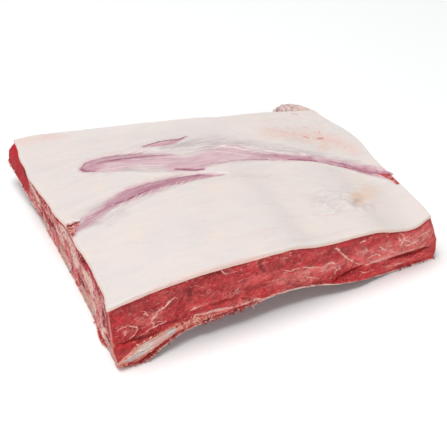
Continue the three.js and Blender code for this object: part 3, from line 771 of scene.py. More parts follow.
# What colours the top: strokes through [x, y, half width] in mm, each with its strength.
topStrokes = {
    "mauve": [
        (1.0, [(38, 177, 6), (46, 177, 10.5), (62, 174, 13), (82, 169.5, 12.5), (100, 160, 11),
               (112, 151, 10)]),
        (1.0, [(110, 147, 12), (122, 142, 13.5), (136, 143.5, 12), (150, 144.5, 13), (163, 143, 12),
               (176, 134.5, 9), (190, 126.5, 7), (206, 118.5, 6.2), (222, 111, 5), (235, 105, 4.4),
               (246, 99, 5), (256, 89, 6), (264, 81, 6), (271, 74, 6), (277, 66, 6)]),
        (1.0, [(114, 135, 6), (120, 130, 4), (126, 126, 1.6)]),
        (1.0, [(96, 188.5, 1.2), (106, 186.5, 3.6), (116, 184, 4.6), (124, 186.5, 3), (136, 188.5, 1)]),
        (0.85, [(6, 98, 4.5), (18, 103, 6.5), (28, 107.4, 5.5), (38, 112, 5), (48, 117, 8)]),
        (0.55, [(8, 101, 3), (18, 107.5, 5), (28, 112, 6), (38, 117, 6), (50, 122.6, 5)]),
        (1.0, [(38, 112, 5.5), (50, 117.5, 8.2), (66, 119.5, 8.8), (84, 120.4, 7.8), (100, 120.3, 6.6),
               (114, 118.6, 5.2), (126, 115.5, 3.6), (138, 111.5, 2)]),
    ],
    "film": [
        (0.9, [(112, 177, 5), (126, 174, 10), (142, 170, 13), (158, 164, 13), (172, 154, 11),
               (188, 143, 9), (204, 132, 7.5), (218, 123, 6), (232, 115, 4.5), (246, 107, 3),
               (262, 96, 2)]),
        (0.7, [(62, 160, 2.5), (76, 153.5, 4), (92, 147, 5), (104, 141, 4)]),
        (0.55, [(16, 97, 5), (30, 94.5, 6.5), (44, 96, 5)]),
        (0.45, [(10, 112, 4), (24, 115.5, 5.5), (40, 121, 4)]),
        (0.4, [(196, 52, 9), (214, 44, 8), (232, 34, 6)]),
        (0.3, [(120, 108, 6), (150, 104, 8), (176, 96, 8)]),
        (0.35, [(86, 192, 3), (100, 192.5, 2), (138, 191.5, 2)]),
    ],
    "dark": [
        (0.8, [(34.5, 179, 2.2), (36, 173, 3), (43, 168.5, 1.8)]),
        (0.65, [(36, 181, 1.2), (41, 186, 1.6), (58, 186.6, 2.2), (76, 183.4, 2.0), (90, 178, 1.3)]),
        (0.8, [(50, 181, 0.8), (70, 178, 1.3), (94, 170.5, 1.3), (113, 163, 0.9)]),
        (0.6, [(70, 173, 0.8), (92, 165.5, 1.1), (112, 157, 1)]),
        (0.9, [(106, 138, 1.5), (115, 131, 2.8), (122, 127, 2), (127, 126, 0.8)]),
        (0.6, [(128, 134, 0.8), (146, 132.6, 1.2), (164, 131.4, 1.6), (178, 127, 1.6), (194, 119.6, 1.3)]),
        (0.9, [(204, 116, 1), (213, 111, 2), (221, 108, 1.8), (226, 107, 0.6)]),
        (0.5, [(186, 133, 0.8), (202, 125, 1.4), (216, 117.5, 1)]),
        (0.7, [(238, 103.6, 1.0), (247, 98.6, 1.6), (255, 90.5, 2.2), (262, 82.5, 1.8), (268, 76, 1)]),
        (1.0, [(92, 189.3, 0.5), (104, 190.6, 0.9), (122, 190, 0.8), (138, 188.8, 0.6)]),
        (0.6, [(104, 186, 1), (112, 182.6, 1.2), (120, 180, 0.8)]),
        (0.6, [(18, 107.4, 0.7), (28, 109.6, 1.3), (39, 112, 0.9)]),
        (0.8, [(43, 112.4, 1.2), (52, 113.6, 1.8), (62, 115.4, 1.4), (74, 117.4, 1)]),
        (0.7, [(54, 124.6, 0.7), (76, 126, 1.1), (98, 125, 1.1), (112, 122, 1.2), (124, 118.5, 0.8)]),
        (0.7, [(124, 115.6, 0.8), (132, 112.6, 1), (140, 110.6, 0.6)]),
    ],
    "thread": [
        (0.8, [(118, 160.5, 0.6), (132, 162, 0.8), (148, 160.6, 0.7), (163, 157.5, 0.5)]),
        (0.7, [(124, 168, 0.5), (142, 166.4, 0.7), (158, 160.6, 0.7), (172, 152, 0.5)]),
        (1.0, [(160, 156.5, 0.6), (169, 152.6, 1.1), (177, 145, 1), (186, 137, 0.8), (192, 131, 0.5)]),
        (0.8, [(150, 152, 0.5), (160, 147.5, 0.8), (169, 140, 0.7), (176, 135, 0.5)]),
        (0.6, [(50, 169, 0.8), (68, 163.6, 1.4), (88, 156, 1.2), (102, 148.6, 0.8)]),
        (0.6, [(46, 176.6, 0.6), (74, 172.4, 0.9), (100, 163.4, 0.8), (114, 156.4, 0.6)]),
        (0.5, [(190, 121.6, 0.6), (204, 121.4, 0.7), (218, 114.6, 0.6), (232, 108.8, 0.5)]),
        (0.55, [(6, 98, 0.4), (18, 102.6, 0.7), (32, 108, 0.6), (42, 113, 0.4)]),
        (0.5, [(10, 104, 0.4), (24, 110.6, 0.7), (36, 116.6, 0.6), (46, 121, 0.4)]),
    ] + [(0.62, [(45 + 7.2 * k + 1.3 * shift, 107.6 + 0.35 * k, 1.2),  # an uneven comb across the front strip
                 (51 + 7.2 * k + shift, 112.6 + 0.3 * k, 0.9), (56 + 7.2 * k, 116.4 + 0.2 * k, 0.4)])
         for k, shift in enumerate((0, 1.6, -1.1, 0.7, 2.1, -0.6, 1.2, -1.4, 0.4, 1.8))],
    "haze": [
        (0.9, [(56, 172, 6), (70, 169, 8), (84, 165, 9)]),
        (1.0, [(84, 165, 9), (100, 158, 11), (124, 147, 12), (150, 143, 12), (176, 136, 8),
               (190, 128, 5)]),
        (0.8, [(226, 110, 3), (246, 101, 4), (262, 92, 4)]),
        (0.6, [(128, 115.4, 4), (140, 111, 3)]),
    ],
    "dusk": [
        (1.1, [(8, 99, 5), (22, 104, 7), (40, 112, 8), (60, 119, 8), (84, 120.5, 7), (100, 120.3, 6),
               (118, 118, 4)]),
        (0.8, [(34, 178, 4), (44, 180, 7), (60, 183, 6), (80, 179, 5), (96, 172, 4)]),
        (0.8, [(186, 131, 6), (204, 120, 5), (222, 112, 4)]),
        (0.6, [(236, 104, 4), (250, 96, 5), (264, 82, 5), (272, 74, 4)]),
    ],
    # painted shadow: a dark line where the fat's edge overlaps the raw notch
    "rawNotchShadow": [
        (1.0, [(-3, 104.6, 0.6), (3, 105.6, 0.8), (9, 106.6, 0.6), (13, 107.6, 0.35)]),
        (0.8, [(-3, 100.4, 0.4), (1.6, 101.4, 0.6), (5, 103, 0.4)]),
    ],
    "rawEdge": [
        (0.9, [(-3, 102.6, 0.3), (2, 103.4, 0.5), (7, 105, 0.3)]),
        (0.9, [(-3, 98.4, 0.4), (1, 99.4, 0.6), (4, 101.4, 0.4), (7, 103.6, 0.3)]),
        (0.9, [(-1, 94, 0.4), (2, 97.4, 0.6), (5, 100.6, 0.4)]),
        (0.8, [(268, 72, 0.4), (272, 65, 0.8), (274, 58, 0.7), (274.6, 52, 0.4)]),
    ],
    "raw": [
        (0.7, [(186, 123.4, 0.5), (198, 117.6, 0.8), (212, 111, 0.7), (226, 105.2, 0.9), (238, 99.8, 0.8),
               (249, 93.6, 1.2), (257, 85, 1.1), (264, 77, 0.8)]),
        (1.0, [(-3, 100, 6.5), (4, 104, 3.4), (10, 106.2, 1)]),
        (0.9, [(-2, 92, 4), (1, 97, 3), (5, 101, 1.4)]),
        (0.8, [(270, 77, 0.8), (274, 71, 2.0), (277, 63, 2.6)]),
        (0.9, [(273, 73, 1.2), (276, 66, 2.4), (277, 60, 3), (276, 54, 1.4)]),
    ],
    "warm": [
        (1.0, [(224, 38, 2), (228, 44, 4), (234, 50, 3)]),
        (0.6, [(226, 40, 9), (240, 47, 12), (252, 54, 9)]),
        (0.4, [(206, 160, 16), (236, 146, 22), (262, 136, 16)]),
        (0.25, [(40, 205, 20), (80, 200, 16)]),
    ],
    "blush": [
        (0.55, [(14, 0, 1.2), (40, 0.6, 2), (64, 1.2, 2), (92, 0.6, 2.4), (120, 0, 1.8)]),
        (0.5, [(244, 126, 8), (254, 136, 10), (252, 152, 8)]),
        (0.5, [(210, 168, 12), (240, 150, 16), (262, 130, 12), (268, 112, 8)]),
        (0.5, [(2, 246, 8), (24, 242, 8), (40, 238, 4)]),
        (0.5, [(180, 34, 0.7), (192, 30, 1), (204, 25, 0.8)]),
        (0.5, [(184, 46, 0.7), (198, 41, 0.9), (210, 38, 0.7)]),
        (0.5, [(206, 30, 0.7), (218, 28, 0.9), (226, 26, 0.6)]),
        (0.4, [(150, 6, 1.4), (176, 8, 1.6), (200, 9, 1.2)]),
    ],
    "spots": [
        (0.9, [(236.5, 149, 1.4), (238.5, 146, 1.2)]),
        (1.0, [(248, 143, 1.3), (251, 141.5, 1.6)]),
        (0.6, [(253, 149, 0.9), (255, 153, 0.9)]),
        (0.5, [(259, 116, 0.8), (264, 121, 0.9)]),
        (0.5, [(230, 158, 1.2), (233, 161, 1)]),
        (0.6, [(246, 190, 1.4), (250, 188, 1.6)]),
    ],
}


def fibreFrame(x, y):  # mm along and across the nearest strip
    lane = np.full(len(x), 999.0)
    along = np.zeros(len(x))
    for spans in stripSpans.values():
        middle = (spans["low"] + spans["high"]) / 2
        slope = np.interp(x, spans["x"], np.gradient(middle, spans["x"]))
        offset = (y - np.interp(x, spans["x"], middle)) / np.sqrt(1 + slope ** 2)
        nearer = np.abs(offset) < np.abs(lane)
        lane = np.where(nearer, offset, lane)
        along = np.where(nearer, x * np.sqrt(1 + slope ** 2), along)
    return along, lane


def topTints(points):
    x, y, _ = fromCorner(points)
    wander = [relief(points, ((0.8, 12, seed, 2), (0.4, 3, fineSeed, 2)))
              for seed, fineSeed in ((91, 97), (95, 99))]
    tints = {name: strokeMap(x + wander[0], y + wander[1], strokes) for name, strokes in topStrokes.items()}
    tints["along"], tints["lane"] = fibreFrame(x, y)
    return tints


def makeFat(values):
    length, depth = values["length"], values["depth"]
    u = spacing(values["alongCount"], length)
    v = spacing(values["acrossCount"], depth)
    top = patchAt(leanNet, u, v)
    top[..., 2] += fatDepth
    gap = np.minimum(np.minimum(u, 1 - u)[:, None] * length, np.minimum(v, 1 - v)[None] * depth).ravel()
    radius = values["edgeRadius"]
    drop = radius - np.sqrt(np.maximum(radius ** 2 - np.maximum(radius - gap, 0) ** 2, 0))
    flat = top.reshape(-1, 3)
    flat[:, 2] += (fatRelief(flat, values) * smooth(gap / 4) - drop) * mm
    flat[:, :2] += (values["ragged"] * mm * noiseAt(flat, 5, 41) * (1 - smooth(gap / 6)))[:, None] * [0.3, 1]
    points, faces = list(flat), gridFaces(len(u), len(v))
    ring, places = gridRim(len(u), len(v)), rimPlaces(u, v)
    foot = ringAt(rims["lean"], places)
    foot[:, 2] -= values["rimSink"] * mm
    normal = outward(np.stack([flat[ring], foot]))[0]
    swellAt = lambda line, share: (values["rimBulge"] * math.sin(math.pi * share)
                                   + values["ragged"] * noiseAt(line, 6, 43) * share)
    last = addSkirt(points, faces, ring, foot, normal, values["skirtRows"], swellAt)
    closeWithNet(points, faces, last, places, leanNet - np.array([0, 0, values["underSink"] * mm]))
    shares = np.arange(1, values["skirtRows"]) / (values["skirtRows"] - 1)
    fromEdge = np.concatenate([gap, np.repeat(-shares * fatDepth / mm, len(ring))])
    fromEdge = np.append(fromEdge, np.full(len(points) - len(fromEdge), -3))
    return makePiece("fatCap", points, faces, {**topTints(np.array(points)), "fromEdge": fromEdge})


fatPiece = makeFat(fatValues)
print("fat cap made", len(fatPiece.data.polygons))


# The muscle strips lie in windows of the fat: fine ribbons on the fat's own surface, with raised fibres.
stripValues = {
    "back_muscle_strip": {"name": "backMuscle", "along": 420, "across": 54},
    "front_muscle_strip": {"name": "frontMuscle", "along": 240, "across": 32},
    "slit_muscle_strip": {"name": "slitMuscle", "along": 90, "across": 14},
}
stripFinish = {
    "fade": 1.2,   # mm from its rim in which a strip rises from sunk to proud of the fat
    "sunk": -0.3,
    "proud": 0.16,
    "fibre": 0.14,  # mm, of the raised fibres, and of the uneven rim
    "ragged": 0.9,
    "thickness": 1.3,
    "droop": 0.25,  # mm from point to point, past the fat's edge
}


def makeStrip(node, values, finish):
    spans = stripSpans[node]
    t = np.linspace(0, 1, values["along"])
    x = spans["x"][0] + t * (spans["x"][-1] - spans["x"][0])
    low, high = np.interp(x, spans["x"], spans["low"]), np.interp(x, spans["x"], spans["high"])
    w = np.linspace(0, 1, values["across"])
    edges = np.stack([x, low, np.zeros_like(x)], 1) * mm
    low = low - finish["ragged"] * noiseAt(edges, 7, 51) * smooth((high - low) / 8)
    high = high + 0.6 * finish["ragged"] * noiseAt(edges + 0.3, 6, 53) * smooth((high - low) / 8)
    across = low[:, None] + (high - low)[:, None] * w[None]
    plan = np.stack([np.repeat(x, len(w)), across.ravel(), np.zeros(across.size)], 1)
    slope = np.repeat(np.gradient((low + high) / 2, x), len(w))
    toRim = np.minimum(plan[:, 1] - np.repeat(low, len(w)), np.repeat(high, len(w)) - plan[:, 1])
    toEnds = np.minimum(plan[:, 0] - x[0], x[-1] - plan[:, 0]) + 0.001
    toRim = np.minimum(toRim / np.sqrt(1 + slope ** 2), toEnds)
    bm = bmesh.new()
    bm.from_mesh(fatPiece.data)
    tree = BVHTree.FromBMesh(bm)
    bm.free()
    points = plan * mm + np.array([cornerX, cornerY, 0])
    height = np.full(len(points), np.nan)
    for index, point in enumerate(points):
        hit = tree.ray_cast(Vector((point[0], point[1], 0.2)), Vector((0, 0, -1)))
        if hit[0] is not None and hit[1].z > 0.5:
            height[index] = hit[0].z
    rows, columns = len(x), len(w)
    grid = height.reshape(rows, columns)
    for back, order in ((-1, range(1, rows)), (1, range(rows - 2, -1, -1))):
        for i in order:  # past the fat's edge the strip goes on at the height it had, drooping
            lost = np.isnan(grid[i])
            grid[i][lost] = grid[i + back][lost] - finish["droop"] * mm
    along, lane = fibreFrame(plan[:, 0], plan[:, 1])
    fibrePoints = np.stack([along * 0.07, lane, np.zeros(len(lane))], 1) * mm
    fibres = noiseAt(fibrePoints, 1.5, 57, 3)
    lift = finish["sunk"] + (finish["proud"] - finish["sunk"]) * smooth(toRim / finish["fade"])
    lift += finish["fibre"] * fibres * smooth(toRim / 2)
    points[:, 2] = grid.ravel() + lift * mm
    under = points - np.array([0, 0, finish["thickness"] * mm])
    count = rows * columns
    faces = [face for quad in gridFaces(rows, columns)
             for face in (quad, tuple(count + k for k in quad[::-1]))]
    ring = gridRim(rows, columns)
    faces += ringFaces(ring, [count + k for k in ring])
    whole = np.vstack([points, under])
    return makePiece(values["name"], whole, faces, topTints(whole))


stripPieces = {node: makeStrip(node, values, stripFinish) for node, values in stripValues.items()}
print("muscle strips made")


# The rib bones: lofts through the CAD bones' sections, sawn off flat at both ends.
ribValues = {
    "stations": 150,
    "sides": 44,
    "squareness": 0.8,
    "endRings": 9,
    "relief": ((0.3, 9, 61, 3, (2.5, 1, 1)), (0.1, 1.8, 63, 2, (6, 1, 1))),
    "bareTop": ([0, 4, 8, 20, 34, 46, 48.5, 50], [8.2, 10, 10.8, 14.2, 18.2, 21.4, 19, 15]),
    "bareFoot": ([0, 4, 6, 20, 34, 46, 50], [6.4, 5.8, 6, 10.4, 14.2, 17.2, 18]),
    "sawMarks": 0.12,
    "edgeStep": 0.25,  # mm that the sawn face lies behind its rim
    "bareEnd": 60,     # mm from the left corner, past which the lean covers the front bone
}


def makeRib(node, values):
    stations, rows = spansOf(node, values["stations"], 0.1)
    y0, y1, z0, z1 = (evened(rows[:, k], 5) for k in range(4))
    angle = np.linspace(0, 2 * math.pi, values["sides"], endpoint=False)
    squash = lambda v: np.sign(v) * np.abs(v) ** values["squareness"]
    rings = []
    for k, x in enumerate(stations):
        ring = np.stack([np.full(len(angle), x),
                         (y0[k] + y1[k]) / 2 + squash(np.cos(angle)) * (y1[k] - y0[k]) / 2,
                         (z0[k] + z1[k]) / 2 + squash(np.sin(angle)) * (z1[k] - z0[k]) / 2], 1)
        middle = ring.mean(0)
        away = ring - middle
        away[:, 0] = 0
        away /= np.linalg.norm(away, axis=1, keepdims=True)
        rings.append(ring + away * relief(ring, values["relief"])[:, None] * mm)
    inward = [[], []]
    for end, (ring, inwards) in enumerate(((rings[0], 1), (rings[-1], -1))):
        middle = ring.mean(0)
        radius = np.linalg.norm(ring - middle, axis=1)
        for k in range(1, values["endRings"]):
            share = (k / values["endRings"]) ** 1.3
            inner = ring + (middle - ring) * share
            saw = values["sawMarks"] * noiseAt(inner, 1.6, 65) + values["edgeStep"] * (k == 1)
            inner[:, 0] += saw * mm * inwards
            inward[end].append((inner, share * radius / mm))
    sides = values["sides"]
    levels = inward[0][::-1] + [(ring, np.full(sides, -1.0)) for ring in rings] + inward[1]
    ordered, fromRim = (list(column) for column in zip(*levels))
    points = np.concatenate(ordered + [ordered[k].mean(0, keepdims=True) for k in (0, -1)])
    ringStarts = range(0, len(ordered) * sides, sides)
    faces = [face for start in ringStarts[:-1]
             for face in ringFaces(range(start, start + sides), range(start + sides, start + 2 * sides))]
    first, last, end = len(points) - 2, len(points) - 1, ringStarts[-1]
    for s in range(sides):
        faces.append((first, (s + 1) % sides, s))
    for s in range(sides):
        faces.append((last, end + s, end + (s + 1) % sides))
    middles = np.array([ring.mean(0) for ring in ordered]).repeat(sides, 0)
    upward = np.append((points[:-2] - middles)[:, 2] / mm, [0, 0])  # fat still clings to the upper side
    attributes = {"fromRim": np.concatenate(fromRim + [[7, 7]]), "fatSide": smooth((upward - 1.5) / 5),
                  "flesh": np.zeros(len(points))}
    if node == "rib_1":  # meat and fat still cover all but a bare strip of the front bone
        x, _, z = fromCorner(points)
        above, below = (z - np.interp(x, *values[line]) for line in ("bareTop", "bareFoot"))
        bare = smooth(np.minimum(-above, below) / 1.2 + 0.5)
        shown = x < values["bareEnd"]
        covered = np.maximum(1 - bare, 1 - smooth((x - 2) / 3))
        attributes["fatSide"] = np.where(shown, covered, attributes["fatSide"])
        attributes["flesh"] = np.maximum(smooth((above - 1.1) / 1.2), smooth((-below - 1.3) / 1.2)) * shown
    return makePiece(node.replace("rib_", "ribBone"), points, faces, attributes)


ribPieces = {f"rib_{k}": makeRib(f"rib_{k}", ribValues) for k in range(1, 5)}
print("bones made")


# The membrane under the slab follows the bones and the hollows between them.
membraneValues = {
    "length": 290,  # mm, rough sizes for the spacing of the edge rows
    "depth": 225,
    "alongCount": 170,
    "acrossCount": 150,
    "skirtRows": 5,
    "relief": ((0.22, 9, 71, 3, (1, 2, 1)), (0.08, 2.5, 73, 2)),
    "lift": 1.75,   # mm, its thickness
}


def makeMembrane(values):
    u, v = spacing(values["alongCount"], values["length"]), spacing(values["acrossCount"], values["depth"])
    flat = patchAt(underNet, u, v).reshape(-1, 3)
    resting = smooth((fromCorner(flat)[2] - 0.3) / 3)  # where it touches the ground it stays flat
    flat[:, 2] = np.maximum(flat[:, 2] + relief(flat, values["relief"]) * resting * mm, 0)
    points, faces = list(flat), gridFaces(len(u), len(v))
    ring, places = gridRim(len(u), len(v)), rimPlaces(u, v)
    upper = ringAt(rims["lower"], places)
    upper[:, 2] += 0.3 * mm
    normal = outward(np.stack([upper, flat[ring]]))[0]
    swellAt = lambda line, share: 0.5 * math.sin(math.pi * share) + 0.3 * noiseAt(line, 3, 77)
    last = addSkirt(points, faces, ring, upper, normal, values["skirtRows"], swellAt)
    onSide = np.zeros(len(points))
    onSide[len(flat):] = 1
    closeWithNet(points, faces, last, places, underNet + np.array([0, 0, values["lift"] * mm]))
    whole = np.array(points)
    onSide = np.append(onSide, np.zeros(len(whole) - len(onSide)))
    overBone = np.zeros(len(whole))
    for node in ribPieces:
        stations, rows = spansOf(node, 60)
        left, right = (np.interp(whole[:, 0], stations, rows[:, k]) for k in (0, 1))
        inside = np.minimum(whole[:, 1] - left, right - whole[:, 1]) / mm
        overBone = np.maximum(overBone, smooth((inside + 2) / 5))
    return makePiece("undersideMembrane", points, faces, {"overBone": overBone, "onSide": onSide})


membranePiece = makeMembrane(membraneValues)
print("membrane made")


# The loose flap at the back right corner: the CAD flap rounded off, with folds.
flapValues = {"levels": 3, "relief": ((1.1, 7, 81, 2, (1, 2, 1)), (0.45, 1.8, 83, 3))}


def makeFlap(values):
    bm = mergedCopy("corner_flap")
    mesh = bpy.data.meshes.new("cornerFlap")
    bm.to_mesh(mesh)
    bm.free()
    rough = inScene("cornerFlapRough", mesh)
    modifier = rough.modifiers.new("rounding", "SUBSURF")
    modifier.levels = modifier.render_levels = values["levels"]
    smoothMesh = bpy.data.meshes.new_from_object(rough.evaluated_get(bpy.context.evaluated_depsgraph_get()))
    points = np.array([vert.co[:] for vert in smoothMesh.vertices])
    normals = np.array([vert.normal[:] for vert in smoothMesh.vertices])
    faces = [tuple(face.vertices) for face in smoothMesh.polygons]
    points = points + normals * relief(points, values["relief"])[:, None] * mm
    bpy.data.objects.remove(rough)
    bpy.data.meshes.remove(smoothMesh)
    return makePiece("cornerFlap", points, faces)


flapPiece = makeFlap(flapValues)
print("flap made")


# Materials. Every pattern is placed in millimetres.
def startMaterial(name):
    material = bpy.data.materials.new(name)
    material.use_nodes = True
    tree = material.node_tree
    tree.nodes.clear()
    coordinates = addNode(tree, "ShaderNodeTexCoord")
    place = addNode(tree, "ShaderNodeVectorMath", {0: coordinates.outputs["Object"], "Scale": 1 / mm},
                    operation="SCALE")
    return material, tree, place.outputs[0]


seedSteps = (7.3, 3.1, 5.7)  # how far each seed moves a pattern


def mask(tree, place=None, size=1, limits=(0.4, 0.6), stretch=(1, 1, 1), attribute=None, wobble=1, detail=4,
         seed=0, roughness=0.55):  # 0 to 1: a noise, an attribute, or an attribute made ragged by a noise
    value = None
    if attribute:
        value = addNode(tree, "ShaderNodeAttribute", attribute_name=attribute).outputs["Fac"]
    if place is not None and wobble:
        scaled = addNode(tree, "ShaderNodeVectorMath",
                         {0: place, 1: [1 / (size * s) for s in stretch], 2: [seed * s for s in seedSteps]},
                         operation="MULTIPLY_ADD")
        noise = addNode(tree, "ShaderNodeTexNoise",
                        {"Vector": scaled, "Scale": 1, "Detail": detail, "Roughness": roughness})
        if value is None:
            value = noise
        else:
            shifted = addNode(tree, "ShaderNodeMath", {0: noise, 1: wobble, 2: -0.5 * wobble},
                              operation="MULTIPLY_ADD")
            value = addNode(tree, "ShaderNodeMath", {0: value, 1: shifted}, operation="ADD")
    limited = {"Value": value, "From Min": limits[0], "From Max": limits[1]}
    return addNode(tree, "ShaderNodeMapRange", limited, interpolation_type="SMOOTHSTEP").outputs[0]


def network(tree, place, size, width, bend):  # thin lines between rounded cells, as fine marbling runs
    noise = addNode(tree, "ShaderNodeTexNoise", {"Vector": place, "Scale": 0.7 / size, "Detail": 3.0})
    bent = addNode(tree, "ShaderNodeVectorMath", {0: noise.outputs["Color"], 1: [bend] * 3, 2: place},
                   operation="MULTIPLY_ADD")
    edge = addNode(tree, "ShaderNodeTexVoronoi", {"Vector": bent, "Scale": 1 / size, "Randomness": 1.0},
                   feature="DISTANCE_TO_EDGE")
    return addNode(tree, "ShaderNodeMapRange", {"Value": edge, "From Min": width / size, "From Max": 0.0},
                   interpolation_type="SMOOTHSTEP").outputs[0]


def weighted(tree, covers, weight):  # a mask, or several that cut one another, times a weight
    total, *factors = covers if isinstance(covers, tuple) else (covers,)
    for factor in factors + [weight] * (weight != 1):
        total = addNode(tree, "ShaderNodeMath", {0: total, 1: factor}, operation="MULTIPLY").outputs[0]
    return total


def paintOver(tree, look, base, layers):  # each layer: masks, a colour and how much it covers what is below
    colourOf = lambda named: linear(look[named]) if isinstance(named, str) else named
    colour = colourOf(base)
    for covers, tint, strength in layers:
        mixed = {0: weighted(tree, covers, strength), 6: colour, 7: colourOf(tint)}
        colour = addNode(tree, "ShaderNodeMix", mixed, data_type="RGBA").outputs[2]
    return colour


def closeMaterial(material, colour, heights, surface):  # heights: masks, each with its height in mm
    tree = material.node_tree
    total = None
    for covers, height in heights:
        part = weighted(tree, covers, height)
        if total is not None:
            part = addNode(tree, "ShaderNodeMath", {0: total, 1: part}, operation="ADD")
        total = part
    bump = addNode(tree, "ShaderNodeBump", {"Height": total, "Strength": 1.0, "Distance": mm})
    shader = addNode(tree, "ShaderNodeBsdfPrincipled", {"Base Color": colour, "Normal": bump, **surface},
                     subsurface_method="RANDOM_WALK")
    addNode(tree, "ShaderNodeOutputMaterial", {"Surface": shader})
    return material


def surfaceOf(roughness, gloss, glow, reach):  # how much light enters, and how far red, green, blue go in mm
    return {"Roughness": roughness, "Specular IOR Level": gloss, "Subsurface Weight": glow,
            "Subsurface Radius": reach, "Subsurface Scale": mm}


# Beef fat: a soft, waxy off-white that light enters a little way. Thin mauve muscle shows through it.
topLook = {
    "base": "#e1d8d4", "cool": "#d8d4d3", "warmWhite": "#e5dad0", "streak": "#cdc3c2", "film": "#b9aeb0",
    "sheen": "#ebe5e3", "stain": "#e6b68c", "blush": "#e4a294", "spots": "#b9675c", "edge": "#f2c6b6",
    "mauve": "#b9788e", "light": "#d8afba", "dark": "#8b4260", "thread": "#ecdcda", "haze": "#dccfd3",
    "dusk": "#9a667c", "raw": "#b3363c", "rawDark": "#741a20", "notchShadow": "#560d12",
    "surface": surfaceOf(0.47, 0.35, 0.22, (2.6, 1.7, 1.3)),
    "muscleSurface": surfaceOf(0.38, 0.45, 0.1, (2.0, 0.9, 0.8)),
}


def makeTopMaterial(name, look, surface):
    material, tree, place = startMaterial(name)
    pattern = partial(mask, tree, place)
    along = addNode(tree, "ShaderNodeAttribute", attribute_name="along").outputs["Fac"]
    lane = addNode(tree, "ShaderNodeAttribute", attribute_name="lane").outputs["Fac"]
    fibrous = partial(mask, tree, addNode(tree, "ShaderNodeCombineXYZ", {"X": along, "Y": lane}))
    veil = pattern(9, (0.05, 0.75), (2.2, 1, 1), attribute="film", wobble=0.5)
    muscle = fibrous(2.2, (0.18, 0.86), (5, 1, 1), attribute="mauve", wobble=0.6, detail=5)
    pale = fibrous(1.5, (0.46, 0.66), (12, 1, 1), seed=2)
    filmGap = fibrous(5, (0.2, 0.62), (4, 1, 1), seed=10)
    dark = fibrous(1.2, (0.3, 0.72), (6, 1, 1), attribute="dark", wobble=0.45)
    lines = fibrous(1.2, (0.3, 0.7), (5, 1, 1), attribute="thread", wobble=0.45)
    rawDark = pattern(1.8, (0.48, 0.62), detail=3, seed=7)
    flesh = paintOver(tree, look, "mauve", [
        (fibrous(7, (0.36, 0.66), (3, 1, 1), seed=5), "light", 0.8),
        (fibrous(1.1, (0.52, 0.72), (14, 1, 1), seed=3), "dark", 0.42),
        (pale, "light", 0.85),
        (fibrous(2.4, (0.58, 0.7), (8, 1, 1), detail=5, seed=4), "thread", 0.65),
        (pattern(6, (0.1, 0.9), attribute="haze", wobble=0.5, detail=3, seed=12), "haze", 0.45),
        (fibrous(3, (0.1, 0.9), (5, 1, 1), attribute="dusk", wobble=0.6, seed=15), "dusk", 0.5),
    ])
    rawPale = pattern(1.6, (0.52, 0.62), (2, 1, 1), seed=11)
    rawFlesh = paintOver(tree, look, "raw", [(rawPale, "blush", 0.8), (rawDark, "rawDark", 0.8)])
    colour = paintOver(tree, look, "base", [
        (pattern(42, (0.3, 0.7), detail=2), "cool", 0.6),
        (pattern(20, (0.5, 0.75), detail=3, seed=1), "warmWhite", 0.5),
        (pattern(10, (0.5, 0.8), (4, 1, 1), seed=2), "streak", 0.3),
        (pattern(6, (0.2, 0.8), (1.6, 1, 1), attribute="warm", wobble=0.6), "stain", 0.5),
        (pattern(5, (0.15, 0.8), (1.6, 1, 1), attribute="blush", wobble=0.5), "blush", 0.5),
        (pattern(2.2, (0.25, 0.75), attribute="spots", wobble=0.7, detail=3), "spots", 0.6),
        ((veil, filmGap), "film", 0.78),
        ((veil, pale), "sheen", 0.6),
        (muscle, flesh, 0.95),
        (dark, "dark", 0.7),
        (lines, "thread", 0.75),
        (pattern(2.4, (0.3, 0.62), attribute="raw", wobble=0.6, seed=6), rawFlesh, 0.95),
        (pattern(1.2, (0.3, 0.62), attribute="rawEdge", wobble=0.6, detail=3, seed=13), "edge", 0.8),
        # painted shadow along the fat's edge over the raw notch
        (pattern(1.2, (0.3, 0.62), attribute="rawNotchShadow", wobble=0.5, detail=3, seed=14), "notchShadow", 0.85),
    ])
    heights = [(pattern(4, (0.2, 0.8), (3, 1, 1), detail=5, seed=8), 0.2),
               (pattern(0.9, (0.2, 0.8), detail=3, seed=9), 0.05),
               (lines, 0.1), (dark, -0.1)]
    if surface == "surface":
        edge = pattern(3, (0.7, -0.8), attribute="fromEdge", wobble=1.6, detail=3)
        colour = paintOver(tree, look, colour, [(edge, "edge", 0.75)])
    return closeMaterial(material, colour, heights, look[surface])


# Raw beef: a moist red cut face with pale marbling; where it is sawn, a pink smear with bone dust.
leanLook = {
    "slant": 0.5,  # radians that the muscle's fibres lean on the cut face
    "sawnRoughness": 0.8,
    "base": "#d62a33", "light": "#f06761", "dark": "#8e161f", "pale": "#fd726f", "bright": "#e22c32",
    "deepRedAndShade": "#7a0a12", "vein": "#ffcfc3", "fleck": "#f6a399", "fine": "#ea7f79",
    "sawn": "#e4757a", "smear": "#f6b5ae", "flush": "#d24857", "dust": "#fad6c9", "sawnRed": "#bd212e",
    "speck": "#6e101c", "fleshDot": "#982f38",
    "surface": surfaceOf(0.36, 0.22, 0.08, (1.6, 0.4, 0.3)),
}


